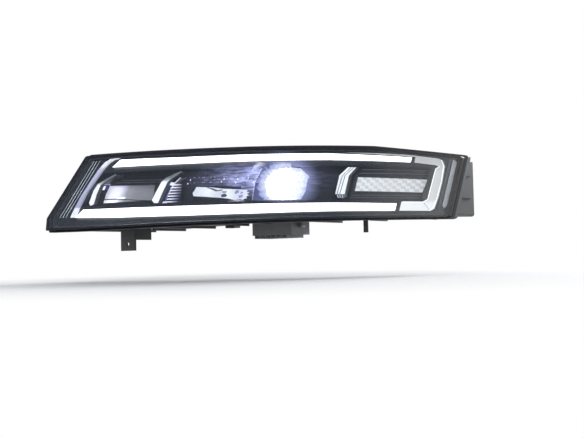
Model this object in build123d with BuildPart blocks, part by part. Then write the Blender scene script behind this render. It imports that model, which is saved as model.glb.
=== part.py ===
from build123d import *
from math import cos, radians, sin
import os

os.makedirs("parts", exist_ok=True)

# Swept LED headlamp, the left-hand one of a compact car. Millimetres.
# +Z is up, -Y is the way the car drives, +X is the car's left, so the lens looks along -Y.
# The row's origin is the middle of the two top ears' seat. All shapes are drawn about the lens
# datum: x along the lamp from the inboard end, y back from the lens, z up from the lower light bar.
DATUM = (-110.0, -262.0, -88.0)
FRONT = Plane(origin=DATUM, x_dir=(1, 0, 0), z_dir=(0, -1, 0))
PLAN = Plane(origin=DATUM, x_dir=(1, 0, 0), z_dir=(0, 0, 1))

# Lens surface in plan: three tangent arcs, and it leans back by RAKE for each mm of height.
LENS_START = (-28.9, -6.1)
SWEEP_START = 10.8
SWEEP_ARCS = [  # (sweep angle at the arc's end, radius)
    (32.0, 794.0),
    (60.4, 523.0),
    (66.0, 1300.0),
]
RAKE = 0.566
LOW_Z = -70.0
HIGH_Z = 130.0
NEAR_Y = -120.0
FAR_Y = 640.0

# Front outline of the lens, x and z, from the inboard corner round the bottom. Its top falls away
# outboard of TAPER_X.
LENS_TOP = 99.0
TAPER_X = 400.0
END_TOP = 89.5
OUTLINE = [(-14, -4), (-5, -24), (60, -24), (210, -20.5), (370, -17.4), (485, -15), (485, END_TOP),
           (TAPER_X, LENS_TOP), (7, LENS_TOP)]
CORNER_R = 4.0
END_IN = 20.0
END_OUT = 470.0

LENS_T = 3.0
SKIRT_BACK = 18.0
GLUE_GAP = 0.6
WALL = 2.5
TUBE_IN = LENS_T + GLUE_GAP
TUBE_INNER = TUBE_IN + WALL
CHANNEL_FRONT = 10.0
FLANGE_OUT = GLUE_GAP + WALL

# Back wall of the housing in plan, x and y. Its flat stretch carries the fittings.
WALL_Y = 240.0
BACK_WALL = [(-60, 60), (-12, 160), (10, WALL_Y), (205, WALL_Y), (245, 300), (335, 345), (430, 425),
             (478, 510), (540, 590)]

# Layers behind the lens surface, measured along Y.
BAR_FRONT = 12.0
BAR_DEEP = 18.0
BEZEL_FRONT = 16.0
RECESS_FRONT = 40.0
BEZEL_T = 2.5
RECESS_BACK = RECESS_FRONT + BEZEL_T
TRIM_FRONT = 20.0
TRIM_DEEP = 8.0
MOVING_GAP = 9.0
MODULE_FRONT = RECESS_BACK + MOVING_GAP
LENS_DEEP = 10.0
CARRIER_FRONT = 95.0
CARRIER_T = 3.5
CARRIER_PLATE = [(14, 6), (336, 6), (336, 70), (232, 70), (222, 86), (14, 86)]
SINK_DEEP = 20.0
SINK_BASE = 4.0
SINK_FINS = 6
SINK_FIN_T = 3.0
SINKS = [  # (left x, right x, low z, high z)
    (36.0, 104.0, 18.0, 52.0),
    (186.0, 250.0, 18.0, 50.0),
    (266.0, 326.0, 16.0, 64.0),
]

RECESS = [(30, 14), (454, 12), (455, 68), (43, 68), (35.5, 52)]
TERRACES = [  # (front layer, outline) of the steps around the outboard window, widest first
    (31.0, [(382, 12), (454, 12), (455, 68), (388, 68), (381, 52)]),
    (35.5, [(383, 17), (452.5, 17), (453.5, 63), (387, 63), (382, 52)]),
    (40.0, [(381, 21), (451, 21), (452, 57), (384, 57), (381, 52)]),
]
# Two grooves part the outboard bracket's face into three lines.
LINE_W = 1.0
LINE_STEP = 2.7
LINE_DEEP = 3.0

BAR_UP = [(57, 77), (66, 89), (162, 87.5), (273, 88.2), (353, 88.2), (430, 84.5), (436, 84.4), (436, 76),
          (430, 76.2), (355, 77.8), (269, 77.4), (173, 76.8)]
BAR_LOW = [(29.5, -5), (37.5, 7.5), (92, 7.5), (197, 7.5), (288, 7.9), (371, 8), (433, 7), (433, -4.8),
           (374, -5), (292, -6.7), (202, -7.5), (90, -7)]
TURN = [(371.5, 89.8), (406.9, 89.5), (437.1, 87.9), (461, 84), (464.5, 81), (467.8, 71), (468.8, 44),
        (468.5, 18), (467.2, -1), (464.5, -4.8), (438, -4.8), (438, 10), (457, 10), (460.2, 14),
        (460.6, 66), (463.4, 69.6), (460, 72.4), (440.6, 75.4), (440.2, 85.2), (426.4, 86.6), (407, 87.6)]
INNER_BLADE = [(20.1, -4.6), (27.6, -4.6), (27.4, 10.7), (29.5, 36.2), (33.8, 50.9), (38.1, 65.6),
               (42.2, 77.4), (47, 85.4), (52.5, 89.3), (62, 91.2), (60, 92.4), (46.5, 91.4), (39.2, 86.2),
               (32.7, 73.5), (27, 51.2), (22.3, 30.7), (20.4, 13.2)]
MARKER = [(471, 0), (472.6, 0), (472.6, 83.5), (471, 83.5)]
REFLEX = [(474.4, 4), (476, 0), (478.4, 4), (478.4, 79), (475.5, 82.5), (474.4, 82.5)]

TRIM_A = [(35.6, 19.5), (39.8, 14.2), (44.7, 16.6), (42, 33), (42, 48.6), (50.4, 55.4), (62.6, 64.2),
          (61, 66), (46.4, 57.5), (36.6, 50.6), (33.9, 39.4)]
TRIM_B = [(139.5, 19), (144.6, 14.2), (150, 14.2), (150.5, 32.4), (151.6, 47.6), (155.2, 52.5),
          (168, 63.2), (166.4, 65), (159.8, 62), (148.6, 56), (143, 48.8), (140.8, 32.8)]
TRIM_C = [(370.8, 22), (380.1, 22), (378.9, 52.2), (384.1, 66), (375.8, 66), (369.3, 52.2)]

WIN_A = [(37.3, 25.5), (37.8, 48), (119.9, 45.5), (126, 20.5), (42, 18.8)]
WIN_B = [(185.2, 26), (185.5, 41), (248, 38), (251, 19.5), (188, 20)]
WIN_MAIN = [(268, 15), (263, 44), (266, 66), (272, 76.2), (311.6, 76.2), (314.9, 66), (329, 52),
            (327.6, 47.5), (329.4, 28), (327, 15)]
WIN_D = [(380, 28), (380, 51), (449, 48.5), (447, 26.5)]
COMB = [(155, 14.5), (176, 14.5), (167, 45), (153, 45)]

FIN_COUNT = 7
FIN_LOW = 15.0
FIN_PITCH = 4.6
FIN_T = 1.8
FIN_HIGH = 10.0

# Tilt of the beam modules: pins along X through forks under the housing roof.
TILT_Y = 200.0
TILT_Z = 78.0
PIN_R = 3.0
PIN_GAP = 0.06
FORKS = [(25.0, 7.0), (211.0, 6.5)]  # (centre x, half width of the carrier's lug)
FORK_T = 4.5
FORK_GAP = 1.0
FORK_HALF = 9.0
TILT_HALF = 7.0

RIB_HIGH = 4.0
RIB_T = 2.0
RIB_KEEP = 8.0
RIB_X = [0.0, 60.0, 130.0, 204.0, 260.0, 320.0, 380.0, 440.0]
RIB_Z = [20.0, 58.0]
RIB_FREE = [  # boxes that the ribs stay out of: left x, right x, near y, far y, low z, high z
    (8.0, 215.0, 236.0, 262.0, -30.0, 93.0),
    (208.0, 304.0, 222.0, 290.0, -45.0, -10.0),
    (38.0, 82.0, 92.0, 156.0, -60.0, -10.0),
    (366.0, 394.0, 306.0, 334.0, -30.0, -5.0),
    (474.0, 500.0, 500.0, 560.0, LOW_Z, HIGH_Z),
]

EAR_X = [40.0, 180.0]
EAR_Y = 262.0
EAR_Z = 88.0
EAR_T = 4.0
EAR_R = 15.0
EAR_RIB = 3.0
BUSH_OUT = 5.5
SCREW_R = 3.3

ACT_X = 150.0
ACT_Z = 12.0
ACT_HOLE = 15.0
ROD_R = 4.0
GUIDE_WALL = 2.5
SHOE_R = 6.5
SHOE_HALF = 5.0
SHOE_GAP = 0.3
COVER_X = 68.0
COVER_Z = 38.0
COVER_R = 38.0
COVER_GAP = 0.4
FACE_GAP = 0.3
LUG_R = 42.0
LUG_W = 16.0
LUG_T = 5.0
LUG_TURN = 40.0
SCREWS = [(108.0, 80.0), (196.0, 6.0)]
SCREW_SHAFT = 3.0
BOSS_R = 6.5
BOSS_SIDES = 10
BOSS_HIGH = 7.0
BULGE_R = 13.0
BULGE_SIDES = 14
EYE_R = 6.5
EYE_T = 4.0
LUG_OUT = 31.0
FLANGE_SIDES = 24
CUP_R = 24.0
CUP_SIDES = 18
CUP_RIBS = 6
DRIVER_FINS = 7
FIN_STEP = 10.6
FIN_WIDE = 2.4

# Boxes of the fittings: left x, right x, near y, far y, low z, high z.
DRIVER = (216.0, 296.0, 230.0, 280.0, -38.0, -8.0)
DRIVER_LUGS = (208.0, 304.0, 248.0, 262.0, -24.0, -20.0)
DRIVER_PLUG = (268.0, 288.0, 280.0, 288.0, -34.0, -18.0)
PLUG_CASE = (12.0, 34.0, WALL_Y, WALL_Y + 20.0, -16.0, 2.0)
OUTER_EAR = (462.0, 466.0, 452.0, 512.0, 34.0, 66.0)
LOWER_EAR = (44.0, 76.0, 98.0, 102.0, -58.0, -18.0)
LOWER_WEB = (58.0, 62.0, 102.0, 150.0, -40.0, -18.0)
OUTER_HOLE = (498.0, 50.0)
LOWER_HOLE = (60.0, -47.0)
BREATHERS = [(24.0, 74.0), (190.0, 70.0)]
BREATHER_STEM = 5.0
BREATHER_R = 8.5
BREATHER_HIGH = 6.0

# Levelling motor: its case, its plug and the way out of that.
MOTOR_CASE = (ACT_X - 28.0, ACT_X + 28.0, WALL_Y + 6.0, WALL_Y + 34.0, ACT_Z - 20.0, ACT_Z + 22.0)
MOTOR_PLUG = (ACT_X - 10.0, ACT_X + 10.0, WALL_Y + 10.0, WALL_Y + 26.0, ACT_Z - 34.0, ACT_Z - 20.0)
MOTOR_FLANGE = 20.0
MOTOR_NOSE = 9.0
NOSE_LONG = 20.0
PIN_X = 380.0
PIN_Y = 320.0
PIN_SEAT = -17.0
LOCATOR_R = 4.0
LOCATOR_LONG = 20.0
SOCKET_WALL = 2.0
BLADE_DEEP = 7.0


def lens_zone(back, inset=0.0):
    """Everything behind the lens surface, moved back by back and in by inset."""
    x, y = LENS_START
    a = radians(SWEEP_START)
    x -= inset * sin(a)
    y += inset * cos(a) + back + RAKE * LOW_Z
    with BuildPart() as zone:
        with BuildSketch(PLAN.offset(LOW_Z)):
            with BuildLine():
                first = (x - 90 * cos(a), y - 90 * sin(a))
                Line(first, (x, y))
                for end, radius in SWEEP_ARCS:
                    b = radians(end)
                    r = radius - inset
                    cx, cy = x - r * sin(a), y + r * cos(a)
                    m = (a + b) / 2
                    tip = (cx + r * sin(b), cy - r * cos(b))
                    ThreePointArc((x, y), (cx + r * sin(m), cy - r * cos(m)), tip)
                    x, y = tip
                    a = b
                last = (x + 150 * cos(a), y + 150 * sin(a))
                Polyline((x, y), last, (last[0], FAR_Y), (first[0], FAR_Y), first)
            make_face()
        rise = HIGH_Z - LOW_Z
        extrude(amount=rise * (1 + RAKE * RAKE) ** 0.5, dir=(0, RAKE, 1))
    return zone.part


def layer(front, back):
    """The slice between two depths behind the lens surface."""
    return lens_zone(front) - lens_zone(back)


def bar(points, grow=0.0):
    """A front-view outline run through the whole depth."""
    with BuildPart() as block:
        with BuildSketch(FRONT.offset(-NEAR_Y)):
            Polygon(*points, align=None)
            if grow:
                offset(amount=grow, kind=Kind.INTERSECTION)
        extrude(amount=NEAR_Y - FAR_Y)
    return block.part


def outline(inset):
    """The lens outline brought in by inset, run through the whole depth."""
    with BuildPart() as block:
        with BuildSketch(FRONT.offset(-NEAR_Y)) as face:
            Polygon(*OUTLINE, align=None)
            offset(amount=-inset, kind=Kind.INTERSECTION)
            corners = face.vertices().sort_by(Axis.X)
            fillet(corners[:3] + corners[-2:], CORNER_R)
        extrude(amount=NEAR_Y - FAR_Y)
    return block.part


def fore(inset=0.0):
    """Everything in front of the housing's back wall."""
    with BuildPart() as block:
        with BuildSketch(PLAN.offset(LOW_Z)):
            Polygon((-60, NEAR_Y), *BACK_WALL, (540, NEAR_Y), align=None)
            if inset:
                offset(amount=-inset, kind=Kind.INTERSECTION)
        extrude(amount=HIGH_Z - LOW_Z)
    return block.part


def box(x0, x1, y0, y1, z0, z1):
    """A box between two corners about the lens datum."""
    with BuildPart() as block:
        with BuildSketch(PLAN.offset(z0)):
            with Locations(((x0 + x1) / 2, (y0 + y1) / 2)):
                Rectangle(x1 - x0, y1 - y0)
        extrude(amount=z1 - z0)
    return block.part


def rod_y(x, z, r, y0, y1):
    """A round bar along Y."""
    with BuildPart() as block:
        with BuildSketch(FRONT.offset(-y0)):
            with Locations((x, z)):
                Circle(r)
        extrude(amount=y0 - y1)
    return block.part


def rod_x(y, z, r, x0, x1):
    """A round bar along X."""
    side = Plane(origin=(DATUM[0] + x0, DATUM[1], DATUM[2]), x_dir=(0, 1, 0), z_dir=(1, 0, 0))
    with BuildPart() as block:
        with BuildSketch(side):
            with Locations((y, z)):
                Circle(r)
        extrude(amount=x1 - x0)
    return block.part


def rod_z(x, y, r, z0, z1):
    """A round bar along Z."""
    with BuildPart() as block:
        with BuildSketch(PLAN.offset(z0)):
            with Locations((x, y)):
                Circle(r)
        extrude(amount=z1 - z0)
    return block.part


def gear_y(x, z, r, count, y0, y1):
    """A bar along Y with flats round it."""
    with BuildPart() as block:
        with BuildSketch(FRONT.offset(-y0)):
            with Locations((x, z)):
                RegularPolygon(r, count)
        extrude(amount=y0 - y1)
    return block.part


def spokes(x, z, inner, outer, width, count, y0, y1):
    """Straight ribs that run out from a centre, along Y from y0 to y1."""
    with BuildPart() as block:
        with BuildSketch(FRONT.offset(-y0)):
            with Locations((x, z)):
                with PolarLocations((inner + outer) / 2, count):
                    Rectangle(outer - inner, width)
        extrude(amount=y0 - y1)
    return block.part


def lugs(r, width, turn, y0, y1):
    """Three bayonet lugs about the cover's axis, turned by turn degrees."""
    with BuildPart() as block:
        with BuildSketch(FRONT.offset(-y0)):
            with Locations((COVER_X, COVER_Z)):
                with PolarLocations(0, 3, start_angle=90 + turn):
                    with Locations((r / 2, 0)):
                        Rectangle(r, width)
        extrude(amount=y0 - y1)
    return block.part & rod_y(COVER_X, COVER_Z, r, y0 - 1, y1 + 1)


def save(label, shape):
    """Write one piece under its plain name."""
    with BuildPart() as piece:
        add(shape)
    piece.part.label = label
    export_step(piece.part, "parts/" + label + ".step")


behind_lens = lens_zone(0)
full = outline(0)

# Clear lens: a skin of even thickness with a skirt that plugs into the housing's channel.
skin = behind_lens - lens_zone(0, LENS_T)
skirt = (full - outline(LENS_T)) & (behind_lens - lens_zone(SKIRT_BACK))
save("outer_lens", (full & skin) + skirt)

# Housing: a tube behind the lens with a stepped back wall, and the channel for the lens skirt.
# Roof, floor, back and the two ends are five mouldings, welded along the room's corners.
room = outline(TUBE_INNER) & fore(WALL)
shell = (outline(TUBE_IN) & fore() & lens_zone(CHANNEL_FRONT)) - room
channel = (outline(-FLANGE_OUT) - outline(-GLUE_GAP)) & layer(CHANNEL_FRONT, SKIRT_BACK + WALL)
floor = (outline(-FLANGE_OUT) - outline(TUBE_IN)) & layer(SKIRT_BACK, SKIRT_BACK + WALL)
tub = shell + channel + floor
ROOF_IN = LENS_TOP - TUBE_INNER
SEAM_DROP = 0.5
roof_line = [(-60, ROOF_IN), (TAPER_X - 5, ROOF_IN), (OUTLINE[6][0], END_TOP - TUBE_INNER - SEAM_DROP)]
floor_line = [(x, z + TUBE_INNER) for x, z in OUTLINE[1:6]]
ends = floor_line[0][1], floor_line[-1][1]
under = bar([(-60, LOW_Z), (-60, ends[0]), *floor_line, (540, ends[1]), (540, LOW_Z)])
over = bar([(-60, HIGH_Z), *roof_line, (540, roof_line[-1][1]), (540, HIGH_Z)])
roof = tub & over
base = tub & under
walls = tub - over - under
inboard_end = walls & box(-60, END_IN, NEAR_Y, FAR_Y, LOW_Z, HIGH_Z)
outboard_end = walls & box(END_OUT, 540, NEAR_Y, FAR_Y, LOW_Z, HIGH_Z)
housing = walls & box(END_IN, END_OUT, NEAR_Y, FAR_Y, LOW_Z, HIGH_Z)
for x, half in FORKS:
    for side in (-1, 1):
        mid = x + side * (half + FORK_GAP + FORK_T / 2)
        fork = box(mid - FORK_T / 2, mid + FORK_T / 2, TILT_Y - FORK_HALF, TILT_Y + FORK_HALF,
                   TILT_Z - FORK_HALF + 1, ROOF_IN)
        roof += fork & room
    roof -= rod_x(TILT_Y, TILT_Z, PIN_R, x - 40, x + 40)
for x in EAR_X:
    housing += box(x - EAR_R, x + EAR_R, WALL_Y - 1, EAR_Y, EAR_Z, EAR_Z + EAR_T)
    housing += rod_z(x, EAR_Y, EAR_R, EAR_Z, EAR_Z + EAR_T)
    for side in (-1, 1):
        rib = x + side * (EAR_R - EAR_RIB / 2)
        housing += box(rib - EAR_RIB / 2, rib + EAR_RIB / 2, WALL_Y - 1, EAR_Y, EAR_Z, ROOF_IN)
    housing -= rod_z(x, EAR_Y, BUSH_OUT, EAR_Z - 5, EAR_Z + 20)
# Stiffening ribs run round the outside as hoops, clear of what sits on the back wall and the floor.
skin_zone = outline(TUBE_IN - RIB_HIGH) & fore(-RIB_HIGH) & lens_zone(SKIRT_BACK + WALL)
skin_zone -= outline(TUBE_IN) & fore()
skin_zone -= rod_y(COVER_X, COVER_Z, COVER_R + RIB_KEEP, WALL_Y - 1, WALL_Y + 20)
for x0, x1, y0, y1, z0, z1 in RIB_FREE:
    skin_zone -= box(x0, x1, y0, y1, z0, z1)
hoops = box(RIB_X[0] - RIB_T / 2, RIB_X[0] + RIB_T / 2, NEAR_Y, FAR_Y, LOW_Z, HIGH_Z)
for x in RIB_X[1:]:
    hoops += box(x - RIB_T / 2, x + RIB_T / 2, NEAR_Y, FAR_Y, LOW_Z, HIGH_Z)
for z in RIB_Z:
    hoops += box(-60, 540, NEAR_Y, FAR_Y, z - RIB_T / 2, z + RIB_T / 2)
ribs = skin_zone & hoops
roof += ribs & over
base += ribs & under
mid_ribs = ribs - over - under
inboard_end += mid_ribs & box(-60, END_IN, NEAR_Y, FAR_Y, LOW_Z, HIGH_Z)
outboard_end += mid_ribs & box(END_OUT, 540, NEAR_Y, FAR_Y, LOW_Z, HIGH_Z)
housing += mid_ribs & box(END_IN, END_OUT, NEAR_Y, FAR_Y, LOW_Z, HIGH_Z)
# Outboard ear behind the wrapped end, lower ear for the bumper beam and a locating pin.
housing += box(*OUTER_EAR) - room
housing -= rod_x(*OUTER_HOLE, SCREW_R, OUTER_EAR[0] - 1, OUTER_EAR[1] + 1)
base += box(*LOWER_EAR)
base += box(*LOWER_WEB)
base -= rod_y(*LOWER_HOLE, SCREW_R, LOWER_EAR[2] - 1, LOWER_EAR[3] + 1)
base += rod_z(PIN_X, PIN_Y, LOCATOR_R + 4, PIN_SEAT, PIN_SEAT + 5)
base += rod_z(PIN_X, PIN_Y, LOCATOR_R, PIN_SEAT - LOCATOR_LONG, PIN_SEAT)
# Openings in the back wall for the cover, the levelling motor and the plug socket.
THROUGH = (WALL_Y - 15, WALL_Y + 20)
housing -= rod_y(COVER_X, COVER_Z, COVER_R, *THROUGH)
housing -= lugs(LUG_R + COVER_GAP, LUG_W + 2 * COVER_GAP, LUG_TURN, *THROUGH)
housing -= rod_y(ACT_X, ACT_Z, ACT_HOLE, *THROUGH)
for x, z in SCREWS:
    housing += gear_y(x, z, BOSS_R, BOSS_SIDES, WALL_Y, WALL_Y + BOSS_HIGH)
    housing -= rod_y(x, z, SCREW_SHAFT, *THROUGH)
save("housing", housing)
save("housing_roof", roof)
save("housing_floor", base)
save("housing_inboard_end", inboard_end)
save("housing_outboard_end", outboard_end)

# Bezel: front frame, stepped recess with windows, hollow from behind.
ring = outline(TUBE_INNER) & fore(WALL) & layer(BEZEL_FRONT, RECESS_BACK)
hollow = outline(TUBE_INNER + BEZEL_T) - bar(RECESS, BEZEL_T)
hollow &= layer(BEZEL_FRONT + BEZEL_T, RECESS_BACK + 20)
bezel = ring - hollow - (bar(RECESS) & layer(BEZEL_FRONT - 5, RECESS_FRONT))
for shape in (BAR_UP, BAR_LOW, TURN):
    bezel -= bar(shape) & layer(BEZEL_FRONT - 5, BAR_FRONT + BAR_DEEP)
bezel -= bar(INNER_BLADE) & layer(BEZEL_FRONT - 5, BAR_FRONT + BLADE_DEEP)
for shape in (MARKER, REFLEX):
    bezel -= bar(shape) & layer(BEZEL_FRONT - 5, BEZEL_FRONT + BEZEL_T)
for shape in (WIN_A, WIN_B, WIN_D):
    bezel -= bar(shape) & layer(RECESS_FRONT - 5, RECESS_BACK + 5)
bezel -= bar(WIN_MAIN) & layer(BEZEL_FRONT - 5, RECESS_BACK + 5)
for shape in (TRIM_A, TRIM_B, TRIM_C):
    bezel += bar(shape) & layer(TRIM_FRONT + TRIM_DEEP, RECESS_FRONT)
for (front, edge), (back, hole) in zip(TERRACES, TERRACES[1:]):
    bezel += (bar(edge) - bar(hole)) & layer(front, RECESS_FRONT)
save("bezel", bezel)

guide = layer(BAR_FRONT, BAR_FRONT + BAR_DEEP)
save("drl_upper", bar(BAR_UP) & guide)
save("drl_lower", bar(BAR_LOW) & guide)
save("turn_blade", bar(TURN) & guide)
save("inner_blade", bar(INNER_BLADE) & layer(BAR_FRONT, BAR_FRONT + BLADE_DEEP))
save("side_marker", bar(MARKER) & layer(BAR_FRONT, BEZEL_FRONT + BEZEL_T))
save("side_reflex", bar(REFLEX) & layer(BAR_FRONT, BEZEL_FRONT + BEZEL_T))

trim = layer(TRIM_FRONT, TRIM_FRONT + TRIM_DEEP)
save("trim_inboard", bar(TRIM_A) & trim)
save("trim_middle", bar(TRIM_B) & trim)
outboard = bar(TRIM_C) & trim
foot, top, knee = TRIM_C[0], TRIM_C[4], TRIM_C[5]
for i in (1, 2):
    x0 = knee[0] + i * LINE_STEP
    x1 = top[0] + i * LINE_STEP
    groove = [(x0, foot[1]), (x0 + LINE_W, foot[1]), (x0 + LINE_W, knee[1]), (x1 + LINE_W, top[1]),
              (x1, top[1]), (x0, knee[1])]
    outboard -= bar(groove) & layer(TRIM_FRONT, TRIM_FRONT + LINE_DEEP)
save("trim_outboard", outboard)

# Comb of fins in the recess.
comb_zone = bar(COMB)
comb = comb_zone & layer(RECESS_FRONT - 2, RECESS_FRONT)
fin_zone = comb_zone & layer(RECESS_FRONT - FIN_HIGH, RECESS_FRONT)
for i in range(FIN_COUNT):
    z = FIN_LOW + i * FIN_PITCH
    comb += fin_zone & box(140, 190, NEAR_Y, FAR_Y, z, z + FIN_T)
save("comb_insert", comb)

# Beam modules behind the windows: lens, body and heat sink each, on one tilting carrier.
# Each lens reaches inboard past its window, because the lamp is seen aslant from outboard.
MODULES = [  # (name, window, how far it reaches inboard, left x, right x, low z, high z of the body)
    ("slim_inboard", WIN_A, 12.0, 22.0, 132.0, 14.0, 52.0),
    ("slim_middle", WIN_B, 10.0, 172.0, 254.0, 14.0, 45.0),
    ("main", WIN_MAIN, 5.0, 255.5, 333.0, 12.0, 69.0),
]
LENS_OVER = 2.0
for name, window, inboard, x0, x1, z0, z1 in MODULES:
    face = bar(window, LENS_OVER) + bar([(x - inboard, z) for x, z in window], LENS_OVER)
    save(name + "_lens", face & layer(MODULE_FRONT, MODULE_FRONT + LENS_DEEP))
    frame = box(x0, x1, NEAR_Y, FAR_Y, z0, z1)
    body = frame & layer(MODULE_FRONT + LENS_DEEP, CARRIER_FRONT)
    save(name + "_body", body)

carrier = bar(CARRIER_PLATE) & layer(CARRIER_FRONT, CARRIER_FRONT + CARRIER_T)
zone = lens_zone(CARRIER_FRONT + 1)
tilt_span = (TILT_Z - TILT_HALF, TILT_Z + TILT_HALF)
for x, half in FORKS:
    carrier += box(x - half, x + half, TILT_Y - TILT_HALF, TILT_Y + TILT_HALF, *tilt_span)
x, half = FORKS[0]
carrier += box(x - half, x + half, TILT_Y - 80, TILT_Y, *tilt_span) & zone
x, half = FORKS[1]
carrier += box(x - half, x + half, TILT_Y, WALL_Y, *tilt_span) - zone
for x, half in FORKS:
    carrier -= rod_x(TILT_Y, TILT_Z, PIN_R + PIN_GAP, x - 40, x + 40)
# Guide that the round shoe on the levelling rod sits in.
SLOT_HALF = SHOE_HALF + SHOE_GAP
SLOT_R = SHOE_R + SHOE_GAP
GUIDE_HALF = SLOT_HALF + GUIDE_WALL
GUIDE_R = SLOT_R + GUIDE_WALL
rail = box(ACT_X - GUIDE_HALF, ACT_X + GUIDE_HALF, TILT_Y - 70, TILT_Y + SLOT_R, ACT_Z - GUIDE_R,
           ACT_Z + GUIDE_R)
carrier += rail & zone
carrier -= box(ACT_X - SLOT_HALF, ACT_X + SLOT_HALF, TILT_Y - SLOT_R - 1, TILT_Y + SLOT_R + 1,
               ACT_Z - SLOT_R, ACT_Z + SLOT_R)
save("carrier", carrier)

sink_layer = layer(CARRIER_FRONT + CARRIER_T, CARRIER_FRONT + CARRIER_T + SINK_DEEP)
sink_base = layer(CARRIER_FRONT + CARRIER_T, CARRIER_FRONT + CARRIER_T + SINK_BASE)
with BuildPart() as heat_sinks:
    for x0, x1, z0, z1 in SINKS:
        add(box(x0, x1, NEAR_Y, FAR_Y, z0, z1) & sink_base)
        for i in range(SINK_FINS):
            x = x0 + SINK_FIN_T / 2 + i * (x1 - x0 - SINK_FIN_T) / (SINK_FINS - 1)
            add(box(x - SINK_FIN_T / 2, x + SINK_FIN_T / 2, NEAR_Y, FAR_Y, z0, z1) & sink_layer)
heat_sinks.part.label = "heat_sinks"
export_step(heat_sinks.part, "parts/heat_sinks.step")

# Fixed cornering module behind the outboard window.
save("pillow_lens", bar(WIN_D, LENS_OVER) & layer(RECESS_BACK, RECESS_BACK + 5))
save("pillow_body", box(376, 454, NEAR_Y, FAR_Y, 22, 56) & layer(RECESS_BACK + 5, RECESS_BACK + 26))

# Tilt pins, levelling motor and its rod.
with BuildPart() as pivot_pins:
    for x, half in FORKS:
        reach = half + FORK_GAP + FORK_T + 2
        add(rod_x(TILT_Y, TILT_Z, PIN_R, x - reach, x + reach))
pivot_pins.part.label = "pivot_pins"
export_step(pivot_pins.part, "parts/pivot_pins.step")

motor = rod_y(ACT_X, ACT_Z, ACT_HOLE, WALL_Y - WALL, WALL_Y)
motor += gear_y(ACT_X, ACT_Z, MOTOR_FLANGE, FLANGE_SIDES, WALL_Y, MOTOR_CASE[2])
motor += box(*MOTOR_CASE)
motor += box(*MOTOR_PLUG)
motor += rod_y(ACT_X, ACT_Z, MOTOR_NOSE, WALL_Y - NOSE_LONG, WALL_Y)
motor += gear_y(ACT_X + BULGE_R, ACT_Z + BULGE_R / 2, BULGE_R, BULGE_SIDES, MOTOR_CASE[3],
                MOTOR_CASE[3] + 3)
for side in (-1, 1):
    lug_x = ACT_X + side * LUG_OUT
    motor += gear_y(lug_x, ACT_Z, EYE_R, BOSS_SIDES, WALL_Y, WALL_Y + EYE_T)
    inner_x, outer_x = sorted((lug_x, ACT_X))
    motor += box(inner_x, outer_x, WALL_Y, WALL_Y + EYE_T, ACT_Z - EYE_R / 2, ACT_Z + EYE_R / 2)
x0, x1, y0, y1, z0, z1 = MOTOR_PLUG
motor -= box(x0 + SOCKET_WALL, x1 - SOCKET_WALL, y0 + SOCKET_WALL, y1 - SOCKET_WALL, z0 - 1, z1 - 4)
motor -= rod_y(ACT_X, ACT_Z, ROD_R + SHOE_GAP, WALL_Y - NOSE_LONG - 1, WALL_Y + 30)
save("levelling_motor", motor)
shoe = rod_x(TILT_Y, ACT_Z, SHOE_R, ACT_X - SHOE_HALF, ACT_X + SHOE_HALF)
save("levelling_rod", rod_y(ACT_X, ACT_Z, ROD_R, TILT_Y, WALL_Y + 20) + shoe)

# Round cover in the back wall, turned to lock behind the wall.
INNER_Y = WALL_Y - WALL - FACE_GAP
OUTER_Y = WALL_Y + FACE_GAP
cover = rod_y(COVER_X, COVER_Z, COVER_R - COVER_GAP, INNER_Y - LUG_T, OUTER_Y)
cover += lugs(LUG_R, LUG_W, 0, INNER_Y - LUG_T, INNER_Y)
cover += gear_y(COVER_X, COVER_Z, COVER_R + 5, FLANGE_SIDES, OUTER_Y, OUTER_Y + 3)
cover += gear_y(COVER_X, COVER_Z, CUP_R, CUP_SIDES, OUTER_Y + 3, OUTER_Y + 9)
cover -= gear_y(COVER_X, COVER_Z, CUP_R - 2, CUP_SIDES, OUTER_Y + 1, OUTER_Y + 20)
cover += spokes(COVER_X, COVER_Z, CUP_R - 2, COVER_R + 2, 2.0, CUP_RIBS, OUTER_Y, OUTER_Y + 8)
cover += box(COVER_X - 28, COVER_X + 28, OUTER_Y, OUTER_Y + 13, COVER_Z - 3, COVER_Z + 3)
save("rear_cover", cover)

# Driver box with cooling fins under the inboard floor, plug socket and breather caps.
driver = box(*DRIVER)
x0, x1, y0, y1, z0, z1 = DRIVER
for i in range(DRIVER_FINS):
    x = x0 + 3 + i * FIN_STEP
    driver += box(x, x + FIN_WIDE, y0 + 2, y1 - 2, z0 - 5, z0)
driver += box(*DRIVER_LUGS)
driver += box(*DRIVER_PLUG)
x0, x1, y0, y1, z0, z1 = DRIVER_PLUG
driver -= box(x0 + SOCKET_WALL, x1 - SOCKET_WALL, y0 + SOCKET_WALL, y1 + 1, z0 + SOCKET_WALL,
              z1 - SOCKET_WALL)
save("driver_box", driver - outline(TUBE_IN))
x0, x1, y0, y1, z0, z1 = PLUG_CASE
socket = box(*PLUG_CASE)
socket -= box(x0 + SOCKET_WALL, x1 - SOCKET_WALL, y0 + 3, y1 + 1, z0 + SOCKET_WALL, z1 - SOCKET_WALL)
save("plug_socket", socket)
with BuildPart() as breathers:
    for x, z in BREATHERS:
        neck = WALL_Y + BREATHER_HIGH
        add(gear_y(x, z, BREATHER_STEM, BOSS_SIDES, WALL_Y, neck))
        add(gear_y(x, z, BREATHER_R, CUP_SIDES, neck, neck + BREATHER_HIGH))
breathers.part.label = "breathers"
export_step(breathers.part, "parts/breathers.step")

with BuildPart() as bushes:
    for x in EAR_X:
        sleeve = rod_z(x, EAR_Y, BUSH_OUT, EAR_Z, EAR_Z + EAR_T)
        add(sleeve - rod_z(x, EAR_Y, SCREW_R, EAR_Z - 1, EAR_Z + EAR_T + 1))
bushes.part.label = "ear_bushes"
export_step(bushes.part, "parts/ear_bushes.step")

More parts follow.
